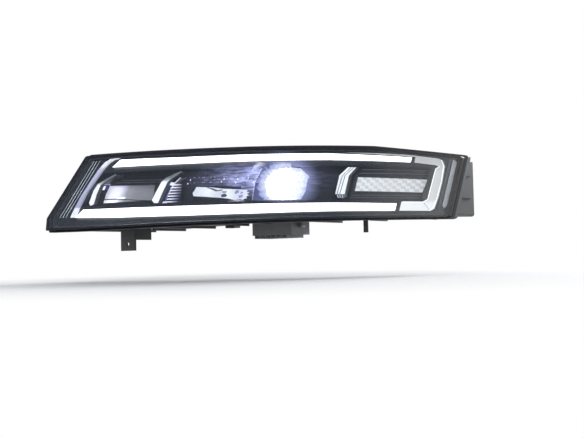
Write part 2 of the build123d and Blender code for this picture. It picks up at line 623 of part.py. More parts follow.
with BuildPart() as screws:
    for x, z in SCREWS:
        add(rod_y(x, z, SCREW_SHAFT, 228, 262))
        add(gear_y(x, z, 7.0, FLANGE_SIDES, WALL_Y + 10, WALL_Y + 16))
screws.part.label = "aim_screws"
export_step(screws.part, "parts/aim_screws.step")
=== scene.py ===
"""Swept LED headlamp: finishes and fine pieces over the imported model."""
import math
import random

import bmesh
import bpy
from mathutils import Euler, Matrix, Vector


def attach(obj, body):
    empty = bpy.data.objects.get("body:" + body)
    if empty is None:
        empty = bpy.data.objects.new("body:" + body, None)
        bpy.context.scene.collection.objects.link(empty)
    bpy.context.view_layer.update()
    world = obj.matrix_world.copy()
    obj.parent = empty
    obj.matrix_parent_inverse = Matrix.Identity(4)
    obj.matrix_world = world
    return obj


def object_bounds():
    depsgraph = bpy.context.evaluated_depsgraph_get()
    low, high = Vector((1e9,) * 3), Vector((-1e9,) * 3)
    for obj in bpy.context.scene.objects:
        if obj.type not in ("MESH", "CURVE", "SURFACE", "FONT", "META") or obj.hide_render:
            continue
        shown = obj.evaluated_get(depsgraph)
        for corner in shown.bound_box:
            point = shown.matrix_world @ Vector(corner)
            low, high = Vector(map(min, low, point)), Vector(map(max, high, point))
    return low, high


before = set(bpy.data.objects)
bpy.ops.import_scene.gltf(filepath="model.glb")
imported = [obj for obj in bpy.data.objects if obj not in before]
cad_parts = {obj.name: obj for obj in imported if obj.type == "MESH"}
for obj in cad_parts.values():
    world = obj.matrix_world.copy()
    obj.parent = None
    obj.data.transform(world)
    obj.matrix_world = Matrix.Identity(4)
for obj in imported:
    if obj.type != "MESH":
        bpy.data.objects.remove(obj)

bl_info = {
    "name": "Swept LED headlamp",
    "version": (1, 0, 0),
    "blender": (4, 5, 0),
    "location": "3D View > Sidebar > Headlamp",
    "description": "Finishes, optics and fittings of a swept LED headlamp",
    "category": "Object",
}

CAD_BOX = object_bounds()
MM = 0.001
OUTBOARD = Vector((1, 0, 0))
BACKWARDS = Vector((0, 1, 0))
DOWN = Vector((0, 0, -1))

# Sizes and places are in mm about the lens datum, which lies here in the row frame.
DATUM = Vector((-110.0, -262.0, -88.0))
# The lens surface in plan: where it starts, the angle it starts at, the last angle and radius of each arc,
# and how far it leans back for each mm of height.
LENS_START = (-28.9, -6.1)
SWEEP_START = 10.8
SWEEP_ARCS = [(32.0, 794.0), (60.4, 523.0), (66.0, 1300.0)]
RAKE = 0.566
# Depths behind the lens surface. The skin is what lies just in front of the recess.
BEZEL_FRONT = 16.0
REFLECTOR_FRONT = 38.6
RECESS_FRONT = 40.0
RECESS_SKIN = RECESS_FRONT - 0.1
PILLOW_BACK = 42.5
MODULE_FRONT = 51.5

# Stray light round the main module and its lit core: x, z and depth, and the reach along each axis. Then the
# strength of the halo on the bezel, and the collar's share of the stray light.
GLOW_SPOT = (272.0, 50.0, RECESS_FRONT)
GLOW_REACH = (165.0, 130.0, 50.0)
CORE_SPOT = (297.0, 38.5, MODULE_FRONT)
CORE_REACH = (53.0, 53.0, 56.0)
HALO = 0.7
COLLAR_SPILL = 0.75

# Pillow optics on the outboard module: their grid, the share of its height that one loses by its edges, and
# how finely one is cut.
PILLOW_PITCH = 8.7
PILLOW_ROW = 5.0
PILLOW_ROWS = 5
PILLOW_COUNT = 8
PILLOW_LEFT = 384.0
PILLOW_LOW = 27.0
PILLOW_FALL = 0.75
PILLOW_CUTS = (6, 4)

# Fine lines in the recess: height of the first and the last, the first one's ends and how much farther
# outboard the last one's lie, the drop along each, and its radius.
FLUTE_TOP = 64.0
FLUTE_LOW = 46.0
FLUTE_LEFT = 158.0
FLUTE_RIGHT = 264.0
FLUTE_SHIFTS = (9.0, 4.0)
FLUTE_DROP = 1.5
FLUTE_RADIUS = 0.45
FLUTE_COUNT = 10
FLUTE_STEPS = 24
# Painted glints in rows between those lines, closer together towards the main module, and larger painted
# sparks, in x and z.
GLINT_COUNT = 54
GLINT_SEED = 11
GLINT_ROWS = (46.4, 50.3, 54.9)
GLINT_CROWD = 0.7
SPARKS = [(172.2, 51.5), (170.4, 45.6), (218.2, 46.8), (220.6, 51.0), (238.3, 44.6), (239.4, 50.4),
          (253.4, 52.3), (262.0, 44.4), (255.5, 64.6)]

# Tapered blocks: width, depth and height, then the top's width and depth.
GLINT_BLOCK = (2.4, 0.8, 0.5, 1.2, 0.4)
SPARK_BLOCK = (1.5, 2.4, 0.5, 0.7, 1.2)
PIN_BLOCK = (1.4, 1.4, 5.5, 0.9, 0.9)
CATCH_BLOCK = (11.0, 4.6, 3.2, 9.0, 3.0)
GRIP_BLOCK = (3.0, 1.8, 1.0, 2.2, 0.9)
BLOCK_ROUND = 0.18

# Thin plates: an outline seen from the front, and the depths of its front and back.
# Lit strips and the dark shade on the inboard module's face.
INBOARD_STRIPS = [([(30.3, 24.0), (58, 22.4), (60, 19.4), (56, 18.2), (42, 18.4), (36, 20.4)],
                   MODULE_FRONT - 1.4, MODULE_FRONT),
                  ([(55, 28.0), (67, 28.3), (71, 27.0), (66, 25.9), (55, 26.1)],
                   MODULE_FRONT - 1.0, MODULE_FRONT)]
INBOARD_SHADE = [([(28.5, 26.4), (56, 26.3), (117, 20.6), (117, 19.4), (57, 24.9), (29, 25.1)],
                  MODULE_FRONT - 1.6, MODULE_FRONT)]
# White reflector round the middle slim optic, the step under its ragged end, and the painted violet-grey
# shade and darker marks on it.
REFLECTOR = [
    ([(184, 29), (186, 39.4), (208.5, 37.8), (226, 35), (256, 32.4), (258.6, 31.4), (257.2, 29.2),
      (261.8, 28.6), (258.8, 25.6), (262.6, 23.2), (259.2, 21.4), (261.2, 18.4), (257.6, 17.6), (256.4, 15.6),
      (253.8, 17.0), (245.6, 16.2), (237.7, 18.5), (226, 20.4), (187, 24.4)], REFLECTOR_FRONT, RECESS_SKIN),
]
REFLECTOR_STEP = [([(236.5, 14.8), (243.4, 11.0), (262.6, 10.4), (263.6, 13.6), (252, 15.4)],
                   RECESS_FRONT - 0.5, RECESS_SKIN)]
REFLECTOR_SHADES = [(outline, REFLECTOR_FRONT - 0.25, REFLECTOR_FRONT + 0.2) for outline in (
    [(203.5, 37.4), (208.5, 37.4), (217.4, 34.0), (216.6, 33.0)],
    [(224.6, 31.4), (232, 30.6), (231, 28.2), (226.4, 27.6)],
    [(243.4, 32.2), (247.2, 31.8), (248.4, 28.2), (244.6, 25.4), (242.6, 28.0)],
    [(251.8, 29.2), (254.6, 27.8), (251.6, 25.6), (250.4, 27.2)],
    [(249.2, 23.4), (254.6, 24.4), (255.2, 20.4), (251.2, 19.2)])]
REFLECTOR_MARKS = [(outline, REFLECTOR_FRONT - 0.35, REFLECTOR_FRONT + 0.2) for outline in (
    [(199, 39.2), (202.4, 38.6), (217, 32.6), (225, 34.0), (225, 32.6), (216.6, 30.8)],
    [(225.4, 25.6), (229.8, 27.2), (233.6, 24.4), (232.8, 21.6), (227, 21.2)])]
# The comb's rim, the dark panel between it and the middle bracket, and the painted highlights at the
# panel's ends.
COMB_RIM = [([(151.8, 20), (152.8, 20), (156.6, 45.6), (162.5, 54.6), (161.8, 55.2), (155.7, 46)],
             30.0, RECESS_SKIN)]
COMB_PANEL = [([(149.4, 14.6), (150.7, 14.6), (151.3, 32), (152.5, 47), (151, 47), (149.9, 32)],
               28.2, 39.8)]
COMB_HIGHLIGHTS = [([(151.2, 43), (153.2, 43), (153.8, 47.6), (151.8, 47.6)], 28.2, 35.5),
                ([(149.6, 14.4), (151.3, 14.4), (151.3, 17), (149.6, 17)], 29.5, 38.5)]
# Facet in the inboard window's upper corner with painted highlights on its two edges, and the outboard
# bracket's foot.
CORNER_FACET = [([(41.8, 41.5), (42.9, 41.5), (42.9, 50), (41.8, 49)], 28.4, 39.6)]
CORNER_HIGHLIGHTS = [([(41.8, 48.8), (43.4, 49.4), (43.4, 50.8), (41.8, 49.4)], 27.4, 39.6),
                ([(41.8, 40.5), (43.5, 40.5), (43.5, 47), (41.8, 46)], 28.2, 31.0)]
FOOT_PLATE = [([(371.4, 22.4), (379.8, 22.4), (381.2, 18.0), (379.0, 15.2), (374.0, 16.2)], 21.2, 27.0)]
# Collar that lines the top of the main module's window, and the lit flange inboard of the module.
CORE_COLLAR = [([(263.4, 64), (264.4, 64), (265.8, 65.8), (272.3, 75.4), (311.2, 75.4), (314.2, 66),
                 (315.2, 66), (312.2, 76.6), (271.5, 76.6), (264.9, 66.4)],
                BEZEL_FRONT + 2.4, RECESS_FRONT + 2.3)]
CORE_SKIRT = [([(257, 58), (264, 58), (270, 79.5), (259, 79.5)], MODULE_FRONT - 1.2, MODULE_FRONT)]
# Outlines are cut at least this often, so that a plate bends with the lens.
PLATE_STEP = 8.0
COLLAR_STEP = 4.0

# Pointed facets over the lit module's outboard half: left, right, low and high edge of each.
CRYSTALS = [(297 + 9.5 * i, 306.5 + 9.5 * i, 17 + 10 * j, 27 + 10 * j) for i in range(3) for j in range(5)]
CRYSTAL_HIGH = 2.4

# Beads along lines: the depth and the line's points. Ridges at the bezel's inboard end come first.
RIDGES = [(BEZEL_FRONT, [(-3.5 + shift, -4.0), (14.0 + shift, 90.0)]) for shift in (0.0, 5.6, 11.2)]
STEP_LINES = [
    (31.0, [(383.5, 17), (452.5, 17)]),
    (31.0, [(387, 63), (453.5, 63)]),
    (35.5, [(382, 21), (451, 21)]),
    (35.5, [(384.5, 57), (452, 57)]),
    (40.0, [(52, 52.4), (136, 50)]),
    (40.0, [(60, 56), (142, 53.4)]),
]
BLADE_RIMS = [
    (12.0, [(438.6, 9.6), (457, 9.6), (460.4, 14), (460.9, 66), (463.6, 69.6)]),
    (12.0, [(464, -4.2), (467, -0.8), (468.3, 18), (468.6, 44), (467.6, 71), (464.3, 80.8)]),
]
# A painted shadow: a dark line along the outboard blade's mitre.
MITRE_SHADOW_LINE = [(11.9, [(457.4, 9.4), (464.6, -4.4)])]
COMB_LINES = [(34.0, [(150.9, 17), (151.5, 32), (152.6, 45)])]
FOOT_RIBS = [(20.9, [(372.6 + 2.6 * i, 21.0), (374.6 + 2.4 * i, 16.4)]) for i in range(3)]
# Each piece's bead radius, the longest stretch between two points of a bead, and the sides of a bead.
BEAD_RADII = {"edge_ridges": 0.5, "step_edges": 0.45, "blade_rims": 0.55, "blade_mitre": 0.35,
              "comb_panel_lines": 0.4, "bracket_foot_ribs": 0.5}
BEAD_STEP = 6.0
BEAD_SIDES = 6
# Faces that meet at more than this many degrees show an edge: plates, blocks and marks, round beads and
# pillows, screw heads and aiming sockets, and cut facets.
CREASE = 35.0
ROUND_CREASE = 60.0
HEAD_CREASE = 25.0
FACET_CREASE = 5.0

# The lens's outline and the rounding of its corners, and the offsets and depths of its black edge.
LENS_OUTLINE = [(-14, -4), (-5, -24), (60, -24), (210, -20.5), (370, -17.4), (485, -15), (485, 89.5),
                (400, 99), (7, 99)]
LENS_CORNER = 4.0
SHARP_TURN = 0.35
CORNER_STEPS = 6
EDGE_OFFSETS = (0.15, -3.25)
EDGE_DEPTHS = (0.4, 17.8)
EDGE_STEP = 6.0

# Small screws on the motor and the driver box: place, and the way each head faces.
SCREW_PLACES = [
    ((119.0, 244.0, 12.0), BACKWARDS),
    ((181.0, 244.0, 12.0), BACKWARDS),
    ((212.0, 255.0, -24.0), DOWN),
    ((300.0, 255.0, -24.0), DOWN),
    ((222.0, 280.0, -14.0), BACKWARDS),
    ((222.0, 280.0, -32.0), BACKWARDS),
    ((260.0, 280.0, -14.0), BACKWARDS),
    ((260.0, 280.0, -32.0), BACKWARDS),
]
# Turned profiles of radius and height, and their sides. The screw head's radii are shares of its own.
SCREW_PROFILE = [(1.3, 0), (1.3, 0.6), (1, 0.6), (1, 2.2), (0.85, 2.6), (0.45, 2.6), (0.4, 1.4)]
SOCKET_PROFILE = [(4.6, 0), (4.6, 1.2), (4.0, 1.8), (2.6, 1.8), (2.4, 0.4)]
MARK_PROFILE = [(4.2, 0), (4.2, 0.35), (3.6, 0.35), (3.4, 0.12)]
SCREW_SIDES = 12
SOCKET_SIDES = 6
MARK_SIDES = 24
# Aiming sockets, contact pins and moulding marks on the back.
AIM_HEADS = [(108.0, 256.0, 80.0), (196.0, 256.0, 6.0)]
SOCKET_PINS = [(17.5 + 3.7 * i, 243.0, z) for i in range(4) for z in (-9.0, -5.0)]
DRIVER_PINS = [(272.0 + 3.0 * i, 282.0, z) for i in range(5) for z in (-28.0, -24.0)]
MOTOR_PINS = [(146.0 + 4.0 * i, 258.0, -12.0) for i in range(3)]
MOULD_MARKS = [(132.0, 240.0, 62.0), (160.0, 240.0, 62.0), (108.0, 240.0, -8.0), (62.0, 240.0, -12.0)]
# The rear cover's axis, and the blocks round its rim.
COVER_AXIS = (68.0, 243.3, 38.0)
COVER_GRIPS = 40
COVER_GRIP_R = 41.2
# Lens catches on the level stretches of the edge: every how many points one stands, how level it has to be
# there, its depth, how far it sinks in, the ribs it keeps clear of and by how much.
CATCH_EVERY = 9
CATCH_LEVEL = 0.9
CATCH_DEPTH = 20.5
CATCH_SINK = 0.2
CATCH_CLEAR = 9.0
RIB_PLACES = [0.0, 60.0, 130.0, 204.0, 260.0, 320.0, 380.0, 440.0]

# The photo's camera: width and focal length in pixels, its place in metres, and how it is turned in degrees.
PHOTO_WIDTH = 584
PHOTO_FOCAL = 870
SENSOR_WIDTH = 36.0
CAMERA_PLACE = (1.0104, -1.1506, -0.1622)
CAMERA_TILT = 2.5017
CAMERA_HEADING = 36.3371
CAMERA_ROLL = -1.3071
# The floor in metres: its gap below the lamp, half its width, and where it fades to white round the lamp.
FLOOR_GAP = 0.05
FLOOR_HALF = 9.0
FLOOR_FADE = (0.3, 0.7)
# How high above the horizon the room that gloss shows turns from white to grey, as a share of straight up.
SKY_FADE = (0.34, 0.62)
# Lamps in metres and watts: name, place, what it looks at, size, power, and whether gloss shows it.
LAMPS = [
    ("key", (1.0, -3.0, 0.75), (0.1, 0, -0.05), 1.3, 40, False),
    ("fill", (-2.4, -1.6, 0.7), (0, 0, -0.05), 1.6, 18, False),
    ("rear", (0.8, 2.4, 1.2), (0, 0, -0.05), 1.4, 80, True),
]

# Moulded, cast and plated finishes: colour, least and most roughness, width and depth of the grain in mm, and
# how metallic a metal is. The real grain is finer than a pixel, so it is drawn 0.7 to 3.3 mm wide to show.
MOULDED = {
    # Talc-filled polypropylene from an eroded tool: black that greys where light grazes it.
    "housing_polypropylene": ("#2c2e31", 0.38, 0.55, 1.11, 0.3),
    "housing_detail": ("#222326", 0.45, 0.6, 1.11, 0.2),
    # Polycarbonate from a polished tool: black glass to the eye, which mirrors the lit parts beside it.
    "gloss_black_flute": ("#191b1f", 0.12, 0.2, 1.43, 0.02),
    "gloss_black_collar": ("#191b1f", 0.14, 0.24, 0.67, 0.02),
    "bezel_edge": ("#5d6069", 0.2, 0.3, 1.43, 0.02),
    # Clear acrylic over a grey back: dull until light falls along it.
    "marker_optic": ("#4a4d51", 0.2, 0.35, 3.33, 0.04),
    "reflex_optic": ("#b4b6ba", 0.2, 0.35, 3.33, 0.04),
    # Black polycarbonate blend with a satin skin: it holds back stray light.
    "module_black": ("#17181a", 0.35, 0.5, 1.11, 0.1),
    "black_shade": ("#1c1d22", 0.25, 0.4, 1.43, 0.05),
    # Glass-filled nylon: dull, with a dry grain.
    "carrier_nylon": ("#2d2e30", 0.5, 0.65, 1.11, 0.2),
    # Die-cast aluminium: grey metal with a broad soft shine.
    "cast_aluminium": ("#b7b8ba", 0.4, 0.55, 1.43, 0.2, 1.0),
    "dark_cast_aluminium": ("#77797c", 0.45, 0.6, 1.43, 0.3, 0.9),
    # Zinc-plated steel: brighter and smoother than the castings.
    "zinc_steel": ("#a3a5a8", 0.25, 0.4, 2.0, 0.05, 1.0),
    "zinc_screw": ("#9fa1a4", 0.3, 0.45, 2.0, 0.05, 1.0),
    # Tin on brass: warm, small bright points inside the sockets.
    "tinned_contact": ("#c8b078", 0.25, 0.4, 2.0, 0.03, 1.0),
    # Filled nylon and polyester cases: plain dark plastics with a fine grain.
    "cover_plastic": ("#1d1e20", 0.4, 0.55, 1.11, 0.2),
    "cover_grip": ("#1b1c1e", 0.4, 0.55, 1.11, 0.2),
    "motor_plastic": ("#202225", 0.4, 0.55, 1.11, 0.2),
    # Natural acetal: milky white with a waxy shine.
    "white_acetal": ("#dcdcd4", 0.35, 0.45, 2.5, 0.05),
    "aiming_acetal": ("#c9c9c0", 0.35, 0.45, 2.5, 0.05),
    # Soft rubber cap: it gives back hardly any shine.
    "breather_rubber": ("#3b3d40", 0.6, 0.75, 1.11, 0.2),
    # Tones with the main module's violet light painted into them: painted shade on the middle reflector, its
    # darker marks, the comb's dark blue panel and its lines, and the facet in the inboard window's corner.
    "violet_grey_shade": ("#9a98c0", 0.2, 0.35, 1.43, 0.03),
    "dark_reflector_mark": ("#4a4a5c", 0.2, 0.35, 1.43, 0.03),
    "dark_blue_panel": ("#2c3062", 0.15, 0.3, 2.0, 0.04),
    "lavender_edge": ("#b9b6e6", 0.2, 0.3, 1.43, 0.02),
    "violet_facet": ("#4a4a80", 0.15, 0.3, 2.0, 0.04),
    # Satin metallized trim in lighter and darker tones: a soft white line against the black.
    "satin_ridge": ("#dfe3ea", 0.2, 0.3, 1.43, 0.02),
    "grey_foot": ("#70727a", 0.2, 0.35, 2.0, 0.03),
    "pale_foot_rib": ("#e8e9ee", 0.2, 0.3, 1.43, 0.02),
    # A painted shadow: a grey line along the outboard blade's mitre.
    "mitre_shadow": ("#77797f", 0.3, 0.4, 2.0, 0.02),
    # Black second shot round the clear lens: a glossy frame that hides the glue.
    "black_lens_edge": ("#0c0d0f", 0.12, 0.22, 1.11, 0.01),
}
# How far the tone of those finishes drifts either way, and the sizes in mm of the drift and of what the other
# finishes draw: haze in the lens, the lit core's grain, prism lines, stray light's streaks and the floor.
TONE_DRIFT = 0.12
TONE_SIZE = 71.4
HAZE_SIZE = 33.3
CORE_GRAIN = 5.56
PRISM_PITCH = 3.49
SPILL_STREAK = (17.54, 3.51)
FLOOR_GRAIN = 16.7

# Silvered and frosted finishes whose tone runs along an axis: the stops, the axis and where it starts and
# ends, the least and most roughness, the glow, which paints light into the parts that are no lamp, the length
# and height of a streak in mm, how far the streaks darken it, and what else differs from the plain form that
# graded takes.
SATIN_WHITE = dict(stops=[(0.0, "#f2f3f8"), (0.8, "#f6f7fb"), (0.9, "#8a8d94"), (1.0, "#63666d")], axis="Z",
                   rough=(0.24, 0.34), metallic=0.1, glow=0.4, streak=(3.33, 16.7), fade=0.12)
GRADED = {
    # Milky acrylic optic, half lit: an even white that dims towards its top.
    "milky_optic": dict(
        stops=[(0.0, "#f0efee"), (0.13, "#eceae9"), (0.2, "#d0cfcd"), (0.72, "#cac8c6"), (0.86, "#c0bfbd"),
               (1.0, "#bebdbb")],
        axis="Z", reach=(-5, 91), rough=(0.2, 0.3), glow=0.36, streak=(8.33, 16.7), fade=0.08),
    # Frosted acrylic light guide: bright ends and a lavender middle, with fine lengthwise lines.
    "frosted_blade": dict(
        stops=[(0.0, "#f4f2ff"), (0.15, "#eeecfc"), (0.17, "#a9a7c2"), (0.6, "#b4b2cc"), (0.8, "#c2c0d8"),
               (0.88, "#f4f4fa"), (1.0, "#f4f4fa")],
        axis="Z", reach=(-4.6, 92.4), rough=(0.3, 0.42), glow=0.3, fade=0.2),
    # Satin metallized brackets: white faces, darker towards the top, with a painted glow, over walls that a
    # painted shade darkens to black deeper in.
    "satin_white_trim_inboard": dict(SATIN_WHITE, reach=(14, 56), deep=(48, 20.3, 21.6, 0.05)),
    "satin_white_trim_middle": dict(SATIN_WHITE, reach=(14, 56), deep=(154, 20.3, 21.6, 0.05)),
    "satin_white_trim_outboard": dict(SATIN_WHITE, reach=(14, 96), deep=(377, 20.3, 21.6, 0.05)),
    # Silvered comb: white fins inboard that turn dark outboard, with a painted glow, and a painted shade
    # deeper in.
    "finned_insert": dict(
        stops=[(0.0, "#ffffff"), (0.4, "#f0eeff"), (0.7, "#9a98b8"), (1.0, "#34353f")],
        reach=(153, 173), rough=(0.2, 0.3), glow=0.5, deep=(164, 30.4, 32.5, 0.05)),
    # Silvered optic lit from its inboard end: pale violet that greys outboard.
    "silvered_slim_optic": dict(
        stops=[(0.0, "#f0eefc"), (0.3, "#dcdaf2"), (0.45, "#86878e"), (0.6, "#75767c"), (1.0, "#66686d")],
        reach=(28, 120), rough=(0.16, 0.3), glow=0.9, streak=(22.2, 2.38), fade=0.25),
    # Smoked acrylic optic, unlit: dark and glossy under its reflector.
    "smoked_slim_optic": dict(
        stops=[(0.0, "#2c2e38"), (0.5, "#3a3c46"), (1.0, "#4a4c66")],
        reach=(175, 253), rough=(0.1, 0.2), streak=(25.0, 6.25), fade=0.2),
    # Metallized backing and the pillows on it: silver, lifted to a soft white by a painted glow.
    "pillow_silver": dict(
        stops=[(0.0, "#c9cacc"), (0.5, "#cfcfd0"), (1.0, "#c6c6c8")],
        reach=(378, 452), rough=(0.2, 0.3), glow=0.36, streak=(2.5, 2.5), fade=0.1),
    "pillow_facet": dict(
        stops=[(0.0, "#e2e2e2"), (0.5, "#dcdcdc"), (1.0, "#e2e2e2")],
        reach=(380, 449), rough=(0.2, 0.3), glow=0.44, streak=(3.33, 3.33), fade=0.12),
    # Painted glints on the flutes: glowing blocks, dull violet far off and white near the lit core.
    "glint": dict(
        stops=[(0.0, "#7674a8"), (0.5, "#a9a7dc"), (1.0, "#ffffff")],
        reach=(FLUTE_LEFT, FLUTE_RIGHT), rough=(0.05, 0.1), glow=0.8, streak=(1.43, 1.43), fade=0.6),
    # White reflector, polished: bright with a painted glow, and cool, streaked bands of lighter and darker
    # tone.
    "white_reflector": dict(
        stops=[(0.0, "#dfe1e9"), (0.3, "#f6f7fa"), (0.5, "#d9dae4"), (0.62, "#f6f7fa"), (0.85, "#dcdcf0"),
               (1.0, "#eceef6")],
        reach=(184, 262), rough=(0.16, 0.28), glow=0.26, streak=(6.25, 3.33), fade=0.2),
    # The step under its ragged end: pale in the middle and darker at both ends, with a painted glow.
    "pale_step": dict(
        stops=[(0.0, "#8e8a9c"), (0.4, "#f6f0f2"), (0.8, "#e2d8e2"), (1.0, "#8e8a9c")],
        reach=(236, 264), rough=(0.2, 0.35), glow=0.3, fade=0.2),
    # Silvered rim of the comb: it brightens upwards, with a painted glow, and a painted shade darkens it into
    # the recess.
    "bright_comb_rim": dict(
        stops=[(0.0, "#55527a"), (0.3, "#a7a4d0"), (0.7, "#f6f4ff"), (1.0, "#e8e6fa")],
        axis="Z", reach=(20, 58), rough=(0.2, 0.3), glow=0.5, deep=(156, 30.5, 33.0, 0.1)),
    # Cut facets of the lit optic: white that cools towards its outboard rim.
    "lit_crystal": dict(
        stops=[(0.0, "#ffffff"), (0.6, "#f0f2ff"), (1.0, "#bcc4ec")],
        reach=(296, 326), rough=(0.05, 0.15), glow=0.9, streak=(3.85, 3.33), fade=0.6),
}

# Small lit optics and painted highlights: colour, strength and how much the prisms behind them show.
LIT = {
    # Frosted strip in front of a lit board, then painted highlights on the comb's panel and a facet's edges.
    "lit_slim_strip": ("#f6f4ff", 0.95, 0.0),
    "panel_highlight": ("#d0cce8", 0.75, 0.0),
    "facet_edge_highlight": ("#d4d2f0", 0.8, 0.0),
    # Edge of the outboard blade, where its light leaves it: a thin white line.
    "lit_blade_rim": ("#ffffff", 1.0, 0.1),
    # Painted sparks: glowing blocks for the core's light thrown back from the corners of the flutes.
    "recess_spark": ("#c9cdfb", 1.3, 0.0),
}

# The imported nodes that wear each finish. The lens, bezel, light bars and main optic get theirs by themselves.
NODE_FINISHES = {
    "housing_polypropylene": ("housing", "housing_roof", "housing_floor", "housing_inboard_end",
                              "housing_outboard_end"),
    "milky_optic": ("turn_blade",),
    "frosted_blade": ("inner_blade",),
    "marker_optic": ("side_marker",),
    "reflex_optic": ("side_reflex",),
    "satin_white_trim_inboard": ("trim_inboard",),
    "satin_white_trim_middle": ("trim_middle",),
    "satin_white_trim_outboard": ("trim_outboard",),
    "finned_insert": ("comb_insert",),
    "silvered_slim_optic": ("slim_inboard_lens",),
    "smoked_slim_optic": ("slim_middle_lens",),
    "module_black": ("slim_inboard_body", "slim_middle_body", "main_body", "pillow_body"),
    "pillow_silver": ("pillow_lens",),
    "carrier_nylon": ("carrier",),
    "cast_aluminium": ("heat_sinks",),
    "dark_cast_aluminium": ("driver_box",),
    "zinc_steel": ("pivot_pins", "ear_bushes"),
    "cover_plastic": ("rear_cover", "plug_socket"),
    "motor_plastic": ("levelling_motor",),
    "white_acetal": ("levelling_rod", "aim_screws"),
    "breather_rubber": ("breathers",),
}


def plan_arcs():
    """The lens surface's plan as (first x, last x, centre x, centre y, radius) for each arc, and its end."""
    x, y = LENS_START
    a = math.radians(SWEEP_START)
    arcs = []
    for end, radius in SWEEP_ARCS:
        b = math.radians(end)
        cx, cy = x - radius * math.sin(a), y + radius * math.cos(a)
        tip = cx + radius * math.sin(b), cy - radius * math.cos(b)
        arcs.append((x, tip[0], cx, cy, radius))
        x, y = tip
        a = b
    return arcs, (x, y, a)


ARCS, ARC_END = plan_arcs()


def surface_y(x, z=0.0, back=0.0):
    """How far back the lens surface, or the layer at a depth behind it, lies at x and z."""
    if x > ARC_END[0]:
        y = ARC_END[1] + (x - ARC_END[0]) * math.tan(ARC_END[2])
    elif x < LENS_START[0]:
        y = LENS_START[1] + (x - LENS_START[0]) * math.tan(math.radians(SWEEP_START))
    else:
        arc = next(a for a in ARCS if x <= a[1] + 1e-9)
        y = arc[3] - math.sqrt(arc[4] ** 2 - (x - arc[2]) ** 2)
    return y + RAKE * z + back


def at(x, y, z):
    """A point about the lens datum, in the row frame in metres."""
    return (Vector((x, y, z)) + DATUM) * MM


def on_layer(x, z, back):
    """A point at a depth behind the lens surface."""
    return at(x, surface_y(x, z, back), z)


def layer_frame(x, z, back):
    """A point on a layer, the direction out of it and the direction along it."""
    here = on_layer(x, z, back)
    across = (on_layer(x + 1, z, back) - on_layer(x - 1, z, back)).normalized()
    up = (on_layer(x, z + 1, back) - on_layer(x, z - 1, back)).normalized()
    return here, across.cross(up).normalized(), across


def linear(code):
    """An sRGB hex colour as linear red, green, blue and full alpha."""
    parts = [int(code[i:i + 2], 16) / 255 for i in (1, 3, 5)]
    return tuple(p / 12.92 if p <= 0.04045 else ((p + 0.055) / 1.055) ** 2.4 for p in parts) + (1.0,)


def drawn(size):
    """The texture scale that draws a pattern at a size in mm."""
    return 1 / (size * MM)


def node(tree, kind, inputs=None, **settings):
    """Add one node with its settings. An input is a value, a socket or a node, for its first used output."""
    new = tree.nodes.new(kind)
    for key, value in settings.items():
        setattr(new, key, value)
    for key, value in (inputs or {}).items():
        if isinstance(value, bpy.types.Node):
            value = next(socket for socket in value.outputs if socket.enabled)
        if isinstance(value, bpy.types.NodeSocket):
            tree.links.new(value, new.inputs[key])
        else:
            new.inputs[key].default_value = value
    return new


def new_material(name):
    """An empty material, its tree and its object coordinates."""
    material = bpy.data.materials.new(name)
    material.use_nodes = True
    tree = material.node_tree
    tree.nodes.clear()
    return material, tree, node(tree, "ShaderNodeTexCoord").outputs["Object"]


def streaks(tree, place, along, high):
    """Noise drawn out into streaks of a length and a height in mm."""
    scale = (drawn(along), drawn(along), drawn(high))
    stretch = node(tree, "ShaderNodeMapping", {"Vector": place, "Scale": scale})
    return node(tree, "ShaderNodeTexNoise", {"Vector": stretch, "Scale": 1.0, "Detail": 3.0})


def distance(tree, place, spot, reach):
    """How far each point lies from a spot on a layer, as a share of the reach along each axis."""
    scale = [drawn(r) for r in reach]
    shift = [-c * s for c, s in zip(on_layer(*spot), scale)]
    local = node(tree, "ShaderNodeMapping", {"Vector": place, "Location": shift, "Scale": scale})
    return node(tree, "ShaderNodeVectorMath", {0: local}, operation="LENGTH")


def depth_behind(tree, place, x):
    """How far each point lies behind the lens, in mm, good for a small piece near x."""
    slope = surface_y(x + 1) - surface_y(x)
    lean = Vector((-slope, 1, -RAKE))
    base = surface_y(x) - slope * x + DATUM.dot(lean)
    along = node(tree, "ShaderNodeVectorMath", {0: place, 1: lean / MM}, operation="DOT_PRODUCT")
    return node(tree, "ShaderNodeMath", {0: along, 1: base}, operation="SUBTRACT")


def moulded(name, base, low, high, grain, depth, metallic=0.0, even=False):
    """Moulded or cast stuff: fine grain in surface and gloss, and a soft drift in tone unless it is even."""
    material, tree, place = new_material(name)
    fine = node(tree, "ShaderNodeTexNoise", {"Vector": place, "Scale": drawn(grain), "Detail": 2.0})
    tone = base
    if not even:
        broad = node(tree, "ShaderNodeTexNoise", {"Vector": place, "Scale": drawn(TONE_SIZE), "Detail": 3.0})
        dark, pale = (tuple(min(1.0, c * share) for c in base[:3]) + (1.0,)
                      for share in (1 - TONE_DRIFT, 1 + TONE_DRIFT))
        tone = node(tree, "ShaderNodeMix", {"Factor": broad, "A": dark, "B": pale}, data_type="RGBA")
    gloss = node(tree, "ShaderNodeMapRange", {"Value": fine, "To Min": low, "To Max": high})
    bump = node(tree, "ShaderNodeBump", {"Height": fine, "Strength": 0.4, "Distance": depth * MM})
    shader = node(tree, "ShaderNodeBsdfPrincipled",
                  {"Base Color": tone, "Roughness": gloss, "Metallic": metallic, "Normal": bump})
    node(tree, "ShaderNodeOutputMaterial", {"Surface": shader})
    return material


